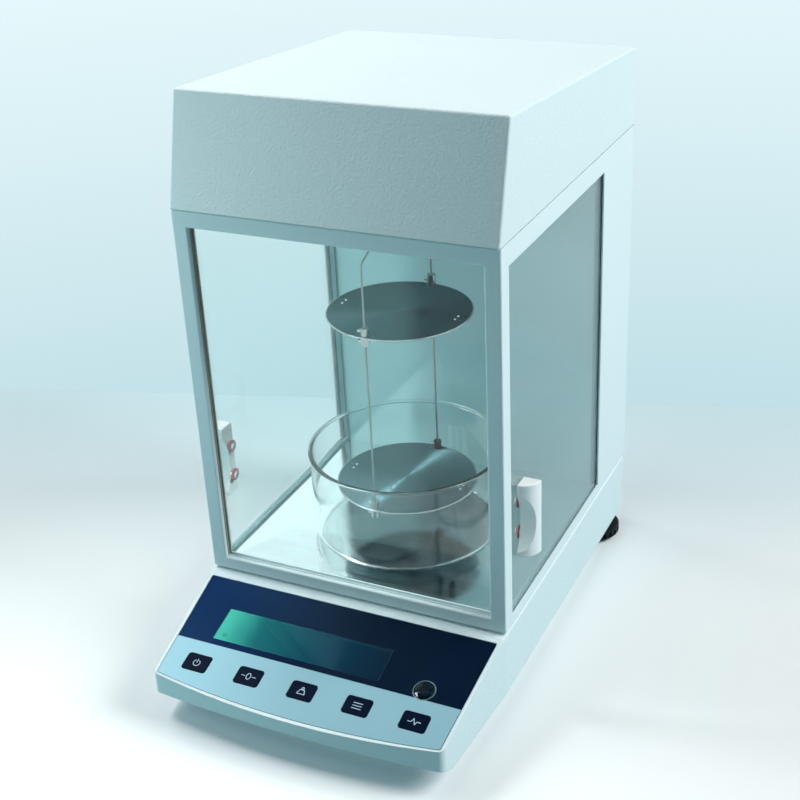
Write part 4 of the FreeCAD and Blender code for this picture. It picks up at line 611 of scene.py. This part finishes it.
class METER_OT_dress(bpy.types.Operator):
    """Puts the finishes on the parts whose shape stays as it is"""

    bl_idname = "meter.dress"
    bl_label = "Dress the parts"
    bl_options = {"REGISTER", "UNDO"}

    def execute(self, context):
        dress("housing_paint", "base_housing", "top_cover")
        dress("shield_paint", "front_frame", "left_side_panel", "right_side_panel", "rear_cover")
        dress("zinc_sheet", "base_plate", "data_port")
        dress("steel_sheet", "chamber_floor")
        dress("turned_steel", "lower_pan")
        # Painted shade: the upper pan wears a darker copy of the lower pan's turned steel.
        dress("painted_shade_turned_steel", "upper_pan")
        dress("polished_steel", "pan_collars", "collar_screws", "load_carrier", "guide_arms")
        dress("wire_steel", "hanger_wire")
        dress("collar_black", "lower_stop")
        dress("screw_steel", "top_cover_screws")
        dress("aluminium_bare", "top_plate", "sensor_frame", "force_beam")
        dress("core_steel", "transformer", "magnet_pot")
        dress("coil_brass", "force_coil")
        dress("board_green", "main_board", "display_board")
        dress("switch_black", "key_switches")
        dress("lcd_green", "lcd_module")
        dress("display_pane", "display_window")
        dress("overlay_navy", "panel_overlay")
        dress("key_navy", *KEYS)
        dress("black_plastic", "level_housing", "power_inlet", "left_foot_screw", "right_foot_screw")
        dress("black_rubber", "left_foot_pad", "right_foot_pad")
        dress("white_plastic", "left_handle", "right_handle")
        dress("track_plastic", "left_track", "right_track")
        dress("red_washer", "left_handle_washers", "right_handle_washers")
        dress("wall_glass", "rear_wall")
        dress("seal_teal", "door_seals")
        dress("gasket_olive", "front_gasket")
        dress("front_pane", "front_glass")
        dress("door_pane", "left_door_glass", "right_door_glass")
        dress("vial_green", "level_vial")
        return {"FINISHED"}


class METER_OT_dish(bpy.types.Operator):
    """Turns the glass dish with its beaded rim"""

    bl_idname = "meter.dish"
    bl_label = "Glass dish"
    bl_options = {"REGISTER", "UNDO"}

    def execute(self, context):
        size = context.scene.meter_sizes
        lowest, highest = low("glass_dish"), high("glass_dish")
        tall = highest.z - lowest.z
        outer, wall, bead, corner = 66.4 * MM, 2.0 * MM, 1.1 * MM, 9 * MM
        clear_of_floor = 0.1 * MM
        steps = 8
        turn = [math.pi / 2 * step / steps for step in range(steps + 1)]
        outside = [(outer - corner + corner * math.sin(angle),
                    clear_of_floor + corner * (1 - math.cos(angle))) for angle in turn]
        beading = [math.pi * step / (2 * steps) for step in range(1, 2 * steps)]
        rim = [(outer, tall - 2 * bead)]
        rim += [(outer + bead * math.sin(angle), tall - bead - bead * math.cos(angle))
                for angle in beading]
        rim += [(outer, tall), (outer - wall * 0.7, tall), (outer - wall, tall - wall * 0.3)]
        inner = corner - wall
        inside = [(outer - corner + inner * math.sin(angle), corner - inner * math.cos(angle))
                  for angle in reversed(turn)]
        dish = turned("dish_of_glass", outside + rim + inside + [(0.0, wall)], size.dish_turns)
        centre = middle("glass_dish")
        settle(dish, Matrix.Translation((centre.x, centre.y, lowest.z)))
        finish(dish, "dish_glass", "dish", stands_for=("glass_dish",))
        return {"FINISHED"}


class METER_OT_pan_rims(bpy.types.Operator):
    """Rolls the bright rim round each pan"""

    bl_idname = "meter.pan_rims"
    bl_label = "Pan rims"
    bl_options = {"REGISTER", "UNDO"}

    def execute(self, context):
        overlap, thick = 0.05 * MM, 0.62 * MM
        rivet_profile = in_mm((0.7, -0.1), (0.9, 0), (0.9, 0.15), (0.75, 0.4), (0.4, 0.55), (0, 0.6))
        from_middle, apart = 40.7 * MM, 2.6 * MM
        for name in ("upper_pan", "lower_pan"):
            centre, radius = middle(name), (high(name).x - low(name).x) / 2
            rim = ring(f"{name}_rim", radius - overlap, thick, 128, 10)
            settle(rim, Matrix.Translation(centre))
            finish(rim, "polished_steel", "hanger")
            places = [Matrix.Translation((x, centre.y + y, high(name).z))
                      for x in (-from_middle, from_middle) for y in (-apart, apart)]
            rivets = repeated(f"{name}_rivets", turned("rivet", rivet_profile, 20), places)
            finish(rivets, "rivet_steel", "hanger")
        return {"FINISHED"}


def cross_head(name, shank, head, thick, length):
    """A pan-head screw with a cross recess, its head's underside at height 0 and its shank below."""
    neck = [(shank * 0.8, -length), (shank, -length + shank * 0.4), (shank, 0.0),
            (head * 0.97, 0.0), (head, thick * 0.08)]
    dome = [(head * math.cos(angle), thick * (0.35 + 0.65 * math.sin(angle)))
            for angle in (0.0, 0.35, 0.7, 1.0, 1.25)]
    screw = turned(name, neck + dome + [(0.0, thick)], bpy.context.scene.meter_sizes.small_turns)
    settle(screw)
    reach, wide = head * 0.55, head * 0.13
    deep, over = thick * 0.45, thick * 1.5
    bars = [slab(f"{name}_bar", (-reach, -wide, deep), (reach, wide, over)),
            slab(f"{name}_bar", (-wide, -reach, deep), (wide, reach, over))]
    return carved(screw, *bars)


class METER_OT_screws(bpy.types.Operator):
    """Turns the cross-head screws that show"""

    bl_idname = "meter.screws"
    bl_label = "Screws"
    bl_options = {"REGISTER", "UNDO"}

    def row(self, name, node, body, places, axis, screw):
        """Copies of a screw at places along an axis, in place of the node's plain ones."""
        screws = repeated(name, screw, [facing(place, axis) for place in places])
        finish(screws, "screw_steel", body, stands_for=(node,))

    def execute(self, context):
        rear = high("rear_cover").y
        places = [(x * MM, rear, 314.5 * MM) for x in (-78, 0, 78)]
        places += [(x * MM, rear, 64 * MM) for x in (-94.6, 94.6)]
        screw = cross_head("rear_screw", 0.9 * MM, 2.2 * MM, 1.3 * MM, 7 * MM)
        self.row("rear_cross_screws", "rear_cover_screws", "base", places, (0, 1, 0), screw)
        under = low("base_plate").z
        places = [(side * x * MM, y * MM, under) for side in (-1, 1)
                  for x, y in ((96.8, -92), (96.5, -19.65), (30, 160.95))]
        screw = cross_head("plate_screw", 1.5 * MM, 3.0 * MM, 1.8 * MM, 9 * MM)
        self.row("plate_cross_screws", "base_plate_screws", "base", places, (0, 0, -1), screw)
        seat, from_end = 101.4 * MM, 2.8 * MM
        for side, sign in SIDES:
            node = f"{side}_handle_screws"
            places = [(sign * seat, middle(node).y, z)
                      for z in (low(node).z + from_end, high(node).z - from_end)]
            screw = cross_head(f"{side}_grip_screw", 1.5 * MM, 2.8 * MM, 1.8 * MM, 10.6 * MM)
            self.row(f"{side}_grip_screws", node, f"{side}_door", places, (-sign, 0, 0), screw)
        return {"FINISHED"}


class METER_OT_key_marks(bpy.types.Operator):
    """Prints a plain sign on each key, from pieces a metre tall that are then flattened"""

    bl_idname = "meter.key_marks"
    bl_label = "Key marks"
    bl_options = {"REGISTER", "UNDO"}

    # The width of a printed line, in millimetres.
    line = 0.5

    def bars(self, places):
        """Bars: each is a middle and a length in millimetres, and a turn in degrees."""
        made = []
        for x, y, length, angle in places:
            corner = Vector((length / 2 * MM, self.line / 2 * MM, 1))
            bar = slab("bar", -corner, corner)
            turn = Matrix.Rotation(math.radians(angle), 4, "Z")
            bar.matrix_world = Matrix.Translation((x * MM, y * MM, 0)) @ turn
            made.append(bar)
        return made

    def loop(self, x, y, wide, tall, gap=False):
        """A ring, open at its top where there is a gap."""
        gap_bottom, gap_half = 0.6, 0.42
        clear()
        bpy.ops.mesh.primitive_circle_add(vertices=48, radius=1.0)
        piece = bpy.context.object
        edit()
        inner = [(half - self.line) / half for half in (wide / 2, tall / 2)]
        bpy.ops.mesh.extrude_edges_move(TRANSFORM_OT_translate={"value": (0, 0, 0)})
        bpy.ops.transform.resize(value=(*inner, 1), center_override=(0, 0, 0))
        bpy.ops.mesh.select_all(action="SELECT")
        bpy.ops.transform.translate(value=(0, 0, -1))
        bpy.ops.mesh.extrude_region_move(TRANSFORM_OT_translate={"value": (0, 0, 2)})
        if gap:
            bpy.ops.mesh.select_mode(type="FACE")
            bpy.ops.object.mode_set(mode="OBJECT")
            for face in piece.data.polygons:
                face.select = face.center.y > gap_bottom and abs(face.center.x) < gap_half
            bpy.ops.object.mode_set(mode="EDIT")
            bpy.ops.mesh.delete(type="FACE")
        bpy.ops.object.mode_set(mode="OBJECT")
        piece.matrix_world = Matrix.Translation((x * MM, y * MM, 0)) @ Matrix.Diagonal(
            (wide / 2 * MM, tall / 2 * MM, 1, 1))
        return [piece]

    def execute(self, context):
        size = context.scene.meter_sizes
        signs = {
            "power_key": self.loop(0, -0.3, 5.0, 5.0, gap=True) + self.bars([(0, 1.2, 3.0, 90)]),
            "tare_key": self.loop(0, 0, 3.4, 5.0) + self.bars([(-3.9, 0, 2.6, 0), (3.9, 0, 2.6, 0)]),
            "calibration_key": self.loop(0, 1.9, 2.0, 2.0) + self.bars([
                (0, 0.8, 3.0, 0), (0, -2.4, 5.4, 0), (-2.1, -0.8, 3.4, 69), (2.1, -0.8, 3.4, -69)]),
            "mode_key": self.bars([(0, 2.0, 6.4, 0), (0, 0, 6.4, 0), (0, -2.0, 6.4, 0)]),
            "test_key": self.bars([
                (-3.2, -0.6, 2.4, 0), (-1.5, 0.6, 2.9, 62), (-0.1, 0, 4.8, -68), (1.3, -1.0, 2.8, 68),
                (3.0, 0, 2.6, 0)]),
        }
        keys_down, key_stands_out = 74.1 * MM, 0.4 * MM
        flat = Matrix.Diagonal((1, 1, size.print_lift, 1))
        for name, pieces in signs.items():
            mark = joined(f"{name}_sign", pieces)
            settle(mark, on_slope(middle(name).x, keys_down, key_stands_out) @ flat)
            finish(mark, "key_mark", f"{name}_cap")
        return {"FINISHED"}


class METER_OT_bubble(bpy.types.Operator):
    """Fits the bubble and the ring to the spirit level"""

    bl_idname = "meter.bubble"
    bl_label = "Bubble"
    bl_options = {"REGISTER", "UNDO"}

    def execute(self, context):
        size = context.scene.meter_sizes
        lowest, highest, centre = low("level_vial"), high("level_vial"), middle("level_vial")
        outer, top = (highest.x - lowest.x) / 2, highest.z
        lens_down, rim_down = 51.2 * MM, 51.0 * MM
        lens = turned("level_lens", [
            (outer, -0.3 * MM), (outer, 0.0), (outer * 0.97, 0.2 * MM), (outer * 0.8, 0.42 * MM),
            (outer * 0.5, 0.6 * MM), (outer * 0.2, 0.68 * MM), (0.0, 0.7 * MM)], size.small_turns)
        settle(lens, on_slope(centre.x, lens_down, 0.0))
        finish(lens, "lens_navy", "base")
        circle = ring("level_ring", 2.6 * MM, 0.14 * MM, 40, 8)
        settle(circle, Matrix.Translation((centre.x, centre.y, top + 0.16 * MM)))
        finish(circle, "collar_black", "base")
        rim = ring("level_rim", outer + 0.9 * MM, 0.35 * MM, 64, 8)
        settle(rim, on_slope(centre.x, rim_down, 0.0) @ Matrix.Diagonal((1, 1, 0.5, 1)))
        finish(rim, "level_ring", "base")
        bubble = turned("level_bubble", in_mm(
            (1.2, 0), (1.9, 0.06), (2.1, 0.14), (1.8, 0.24), (0, 0.3)), size.small_turns)
        to_left, to_rear, over = 0.3 * MM, 0.2 * MM, 0.02 * MM
        settle(bubble, Matrix.Translation((centre.x - to_left, centre.y + to_rear, top + over)))
        finish(bubble, "bubble_green", "base")
        return {"FINISHED"}


class METER_OT_door_bands(bpy.types.Operator):
    """Prints the dark band along the rear edge of each door"""

    bl_idname = "meter.door_bands"
    bl_label = "Door bands"
    bl_options = {"REGISTER", "UNDO"}

    def execute(self, context):
        wide, thick, inset = 5.4 * MM, 0.14 * MM, 0.8 * MM
        for side, sign in SIDES:
            door = f"{side}_door_glass"
            inner = (low if sign > 0 else high)(door).x
            rear = high(door).y - inset
            lowest = Vector((inner, rear - wide, low(door).z + inset))
            highest = Vector((inner - sign * thick, rear, high(door).z - inset))
            corners = [Vector(map(pick, lowest, highest)) for pick in (min, max)]
            band = slab(f"{side}_door_band", *corners, thick / 3, 1)
            finish(settle(band), "seal_dark", f"{side}_door")
        return {"FINISHED"}


class METER_OT_display_mark(bpy.types.Operator):
    """Draws the small ring that the display shows when the weight is steady"""

    bl_idname = "meter.display_mark"
    bl_label = "Display mark"
    bl_options = {"REGISTER", "UNDO"}

    def execute(self, context):
        across, down = -70.6 * MM, 48.6 * MM
        mark = ring("steady_mark", 1.1 * MM, 0.18 * MM, 32, 8)
        settle(mark, on_slope(across, down, 0.0) @ Matrix.Diagonal((1, 1, 0.15, 1)))
        finish(mark, "mark_dark", "base")
        return {"FINISHED"}


class METER_OT_front_feet(bpy.types.Operator):
    """Turns the two fixed rubber feet"""

    bl_idname = "meter.front_feet"
    bl_label = "Front feet"
    bl_options = {"REGISTER", "UNDO"}

    def execute(self, context):
        size = context.scene.meter_sizes
        top, from_middle = high("front_feet").z / MM, 68 * MM
        foot = turned("fixed_foot", in_mm(
            (8.2, 0), (8.9, 0.3), (9.2, 1.0), (9.8, 5.0), (9.5, 5.3), (9.5, 6.0), (10.0, 6.3),
            (10.9, top - 0.6), (11.0, top - 0.05), (10.6, top), (0, top)), size.small_turns)
        across = middle("front_feet").y
        places = [Matrix.Translation((x, across, 0)) for x in (-from_middle, from_middle)]
        feet = repeated("fixed_feet", foot, places)
        finish(feet, "black_rubber", "base", stands_for=("front_feet",))
        return {"FINISHED"}


class METER_OT_port(bpy.types.Operator):
    """Fits the data port's insulator, pins and hexagon posts"""

    bl_idname = "meter.port"
    bl_label = "Data port"
    bl_options = {"REGISTER", "UNDO"}

    def execute(self, context):
        lowest, highest, centre = low("data_port"), high("data_port"), middle("data_port")
        depth, thick = 6 * MM, 1.2 * MM
        half_wide, half_tall = 7.6 * MM, 3.2 * MM
        floor = highest.y - depth
        block = slab("port_insulator", (centre.x - half_wide, floor + 0.02 * MM, centre.z - half_tall),
                     (centre.x + half_wide, floor + thick, centre.z + half_tall), 0.4 * MM)
        finish(settle(block), "black_plastic", "base")
        pin = turned("port_pin", in_mm((0.5, 0), (0.5, 3.4), (0.4, 3.8), (0.2, 4.0), (0, 4.02)), 16)
        pitch, from_row = 2.77 * MM, 1.42 * MM
        backwards = (0, 1, 0)
        places = [facing((centre.x + (column - (count - 1) / 2) * pitch, floor + thick,
                          centre.z + row * from_row), backwards)
                  for row, count in ((1, 5), (-1, 4)) for column in range(count)]
        finish(repeated("port_pins", pin, places), "brass_pin", "base")
        post = turned("port_post", in_mm(
            (2.6, 0), (2.6, 3.6), (2.2, 4.0), (1.2, 4.0), (1.2, 1.5), (0, 1.3)), 6)
        from_end, seat = 3 * MM, high("rear_cover").y + 1.0 * MM
        places = [facing((x, seat, centre.z), backwards)
                  for x in (lowest.x + from_end, highest.x - from_end)]
        finish(repeated("port_posts", post, places), "screw_steel", "base")
        return {"FINISHED"}


class METER_OT_foot_collars(bpy.types.Operator):
    """Turns the collar at the top of each levelling foot's disc"""

    bl_idname = "meter.foot_collars"
    bl_label = "Foot collars"
    bl_options = {"REGISTER", "UNDO"}

    def execute(self, context):
        size = context.scene.meter_sizes
        bore, tall, disc_top = 5.2, 0.36, 9.0 * MM
        for side, _ in SIDES:
            centre = middle(f"{side}_foot_screw")
            profile = in_mm((bore, 0), (8.7, 0), (9.0, 0.06), (9.0, 0.24), (8.8, tall), (bore, tall))
            collar = turned(f"{side}_foot_collar", profile, size.small_turns, filled=False)
            settle(collar, Matrix.Translation((centre.x, centre.y, disc_top)))
            finish(collar, "black_plastic", f"{side}_foot_disc")
        return {"FINISHED"}


class METER_OT_stage(bpy.types.Operator):
    """Sets up the pale floor, the lamps and the camera"""

    bl_idname = "meter.stage"
    bl_label = "Stage"
    bl_options = {"REGISTER", "UNDO"}

    def floor(self, edge, turn):
        """A pale floor that ends at the wall, with painted shade darkening it near the wall; far from
        the part it is as pale as the wall.
        """
        wide, shaded, fade = 8.0, 0.34, (0.6, 1.3)
        open_floor, painted_shade_at_wall, lamp_lit = (0.95, 0.985, 0.99), (0.57, 0.73, 0.77), (0.27, 0.47, 0.53)
        clear()
        bpy.ops.mesh.primitive_plane_add(size=wide)
        floor = bpy.context.object
        floor.name = "floor"
        floor.matrix_world = (Matrix.Translation(edge) @ Matrix.Rotation(turn, 4, "Z")
                              @ Matrix.Translation((0, -wide / 2, 0)))
        floor.visible_glossy = False
        made = new_finish("pale_floor")
        place = made.place()
        near_wall = made.node("ShaderNodeSeparateXYZ", {0: place}).outputs[1]
        shade = made.range(near_wall, wide / 2 - shaded, wide / 2, 0.0, 1.0, smooth=True)
        # Painted shade: the floor's colour darkens towards the wall.
        pale = made.blend(shade, made.vary(open_floor, place, 3.0, 0.01), painted_shade_at_wall)
        path = made.node("ShaderNodeLightPath").outputs
        through = made.maths("MAXIMUM", path["Is Glossy Ray"], path["Is Transmission Ray"])
        seen = made.maths("MAXIMUM", path["Is Camera Ray"], through)
        near = made.node("ShaderNodeBsdfPrincipled", {
            "Base Color": made.blend(seen, lamp_lit, pale),
            "Roughness": made.range(made.noise(place, 30.0), 0.3, 0.7, 0.5, 0.65),
            "Specular IOR Level": 0.15,
        })
        part = (0, wide / 2 - edge[1], 0)
        from_part = made.node("ShaderNodeVectorMath", {0: place, 1: part}, operation="DISTANCE")
        away = made.range(from_part.outputs["Value"], *fade, 0.0, 1.0, smooth=True)
        far = made.node("ShaderNodeEmission", {"Color": (0.84, 0.94, 0.96, 1)})
        made.show(made.mixed(made.maths("MULTIPLY", away, seen), near, far))
        floor.data.materials.append(FINISHES["pale_floor"])

    def lamp(self, name, place, aim, width, watts, colour=(1, 1, 1), glossy=True):
        clear()
        bpy.ops.object.light_add(type="AREA", location=place)
        lamp = bpy.context.object
        lamp.name = name
        lamp.matrix_world = facing(place, Vector(place) - Vector(aim))
        lamp.data.shape, lamp.data.size = "SQUARE", width
        lamp.data.energy, lamp.data.color = watts, colour
        lamp.visible_camera = False
        lamp.visible_glossy = lamp.visible_transmission = glossy

    def sky(self):
        """A dim cyan room. The camera sees a pale wall, and gloss a bright and a dark side."""
        world = bpy.data.worlds.new("pale_room")
        bpy.context.scene.world = world
        made = Tree(world, "ShaderNodeOutputWorld")
        way = made.node("ShaderNodeTexCoord").outputs["Generated"]
        parts = made.node("ShaderNodeSeparateXYZ", {0: way}).outputs
        height = made.range(parts[2], -0.46, 0.54, 0.0, 1.0)
        wall = made.ramp(height, [(0.0, (0.53, 0.74, 0.80)), (0.32, (0.82, 0.965, 0.995)),
                                  (0.6, (0.84, 0.97, 1.0)), (0.85, (1.25, 1.42, 1.45))])
        room, dim = (0.64, 0.93, 1.0, 1), 0.07
        window, corner, ceiling = (1.0, 2.05, 2.05), (0.10, 0.17, 0.18), (0.02, 0.09, 0.16)
        heading = made.maths("ARCTAN2", parts[0], made.maths("MULTIPLY", parts[1], -1.0))
        past_window = made.range(heading, math.radians(-26.2), math.radians(-25.2), 0.0, 1.0)
        before_side = made.range(heading, math.radians(50), math.radians(75), 1.0, 0.0)
        front = made.blend(made.maths("MULTIPLY", past_window, before_side), window, corner)
        behind = made.range(parts[1], -0.25, -0.1, 0.0, 1.0)
        overhead = made.range(parts[2], 0.5, 0.72, 0.0, 1.0, smooth=True)
        around = made.blend(overhead, made.blend(behind, front, wall), ceiling)
        light = made.node("ShaderNodeBackground", {0: room, 1: dim})
        seen, shine = (made.node("ShaderNodeBackground", {0: colour}) for colour in (wall, around))
        path = made.node("ShaderNodeLightPath").outputs
        either = made.maths("MAXIMUM", path["Is Camera Ray"], path["Is Transmission Ray"])
        made.show(made.mixed(either, made.mixed(path["Is Glossy Ray"], light, shine), seen))

    def camera(self, eye, heading, pitch, roll):
        """A camera that looks along a heading and down by its pitch."""
        level = Vector((math.sin(heading), math.cos(heading), 0))
        ahead = level * math.cos(pitch) - Vector((0, 0, math.sin(pitch)))
        right = ahead.cross(Vector((0, 0, 1))).normalized()
        above = right.cross(ahead)
        side = right * math.cos(roll) + above * math.sin(roll)
        top = above * math.cos(roll) - right * math.sin(roll)
        clear()
        bpy.ops.object.camera_add(location=eye)
        camera = bpy.context.object
        camera.name = "photo_camera"
        turn = Matrix((side, top, -ahead)).transposed().to_4x4()
        camera.matrix_world = Matrix.Translation(eye) @ turn
        camera.data.sensor_width, camera.data.lens = 36.0, 63.42
        camera.data.clip_start = 0.02
        bpy.context.scene.camera = camera

    def execute(self, context):
        size = context.scene.meter_sizes
        context.scene.view_settings.view_transform = "Standard"
        self.camera(eye=(0.37513, -0.74857, 0.59717), heading=-0.46145, pitch=0.47269, roll=-0.05067)
        self.floor(size.floor_edge, size.wall_turn)
        self.sky()
        part = (0, 0.05, 0.2)
        self.lamp("right_window", (2.0, 0.5, 1.75), part, width=1.5, watts=69, glossy=False)
        self.lamp("left_window", (-0.80, 0.145, 0.98), part, width=0.6, watts=3.6, glossy=False)
        self.lamp("high_window", (-0.67, -0.115, 1.09), part, width=0.3, watts=4.5)
        self.lamp("left_bounce", (-0.36, -0.34, 0.34), (-0.10, -0.08, 0.25), width=0.25, watts=0.66,
                  colour=(0.78, 0.96, 1.0))
        return {"FINISHED"}


class METER_PT_panel(bpy.types.Panel):
    """Lists the steps that dress the density meter"""

    bl_idname = "METER_PT_panel"
    bl_label = "Density meter"
    bl_space_type = "VIEW_3D"
    bl_region_type = "UI"
    bl_category = "Density meter"

    def draw(self, context):
        for step in STEPS:
            self.layout.operator(step.bl_idname)
        for group in (context.scene.meter_colours, context.scene.meter_sizes):
            for name in group.__annotations__:
                self.layout.prop(group, name)


STEPS = (METER_OT_finishes, METER_OT_stage, METER_OT_dress, METER_OT_dish, METER_OT_pan_rims,
         METER_OT_screws, METER_OT_key_marks, METER_OT_bubble, METER_OT_display_mark,
         METER_OT_door_bands, METER_OT_front_feet, METER_OT_port, METER_OT_foot_collars)
CLASSES = (MeterColours, MeterSizes, *STEPS, METER_PT_panel)


def register():
    for each in CLASSES:
        bpy.utils.register_class(each)
    bpy.types.Scene.meter_colours = PointerProperty(type=MeterColours)
    bpy.types.Scene.meter_sizes = PointerProperty(type=MeterSizes)


def unregister():
    del bpy.types.Scene.meter_sizes
    del bpy.types.Scene.meter_colours
    for each in reversed(CLASSES):
        bpy.utils.unregister_class(each)


def main():
    register()
    for step in STEPS:
        group, name = step.bl_idname.split(".")
        getattr(getattr(bpy.ops, group), name)()
    clear()


if __name__ == "__main__":
    main()
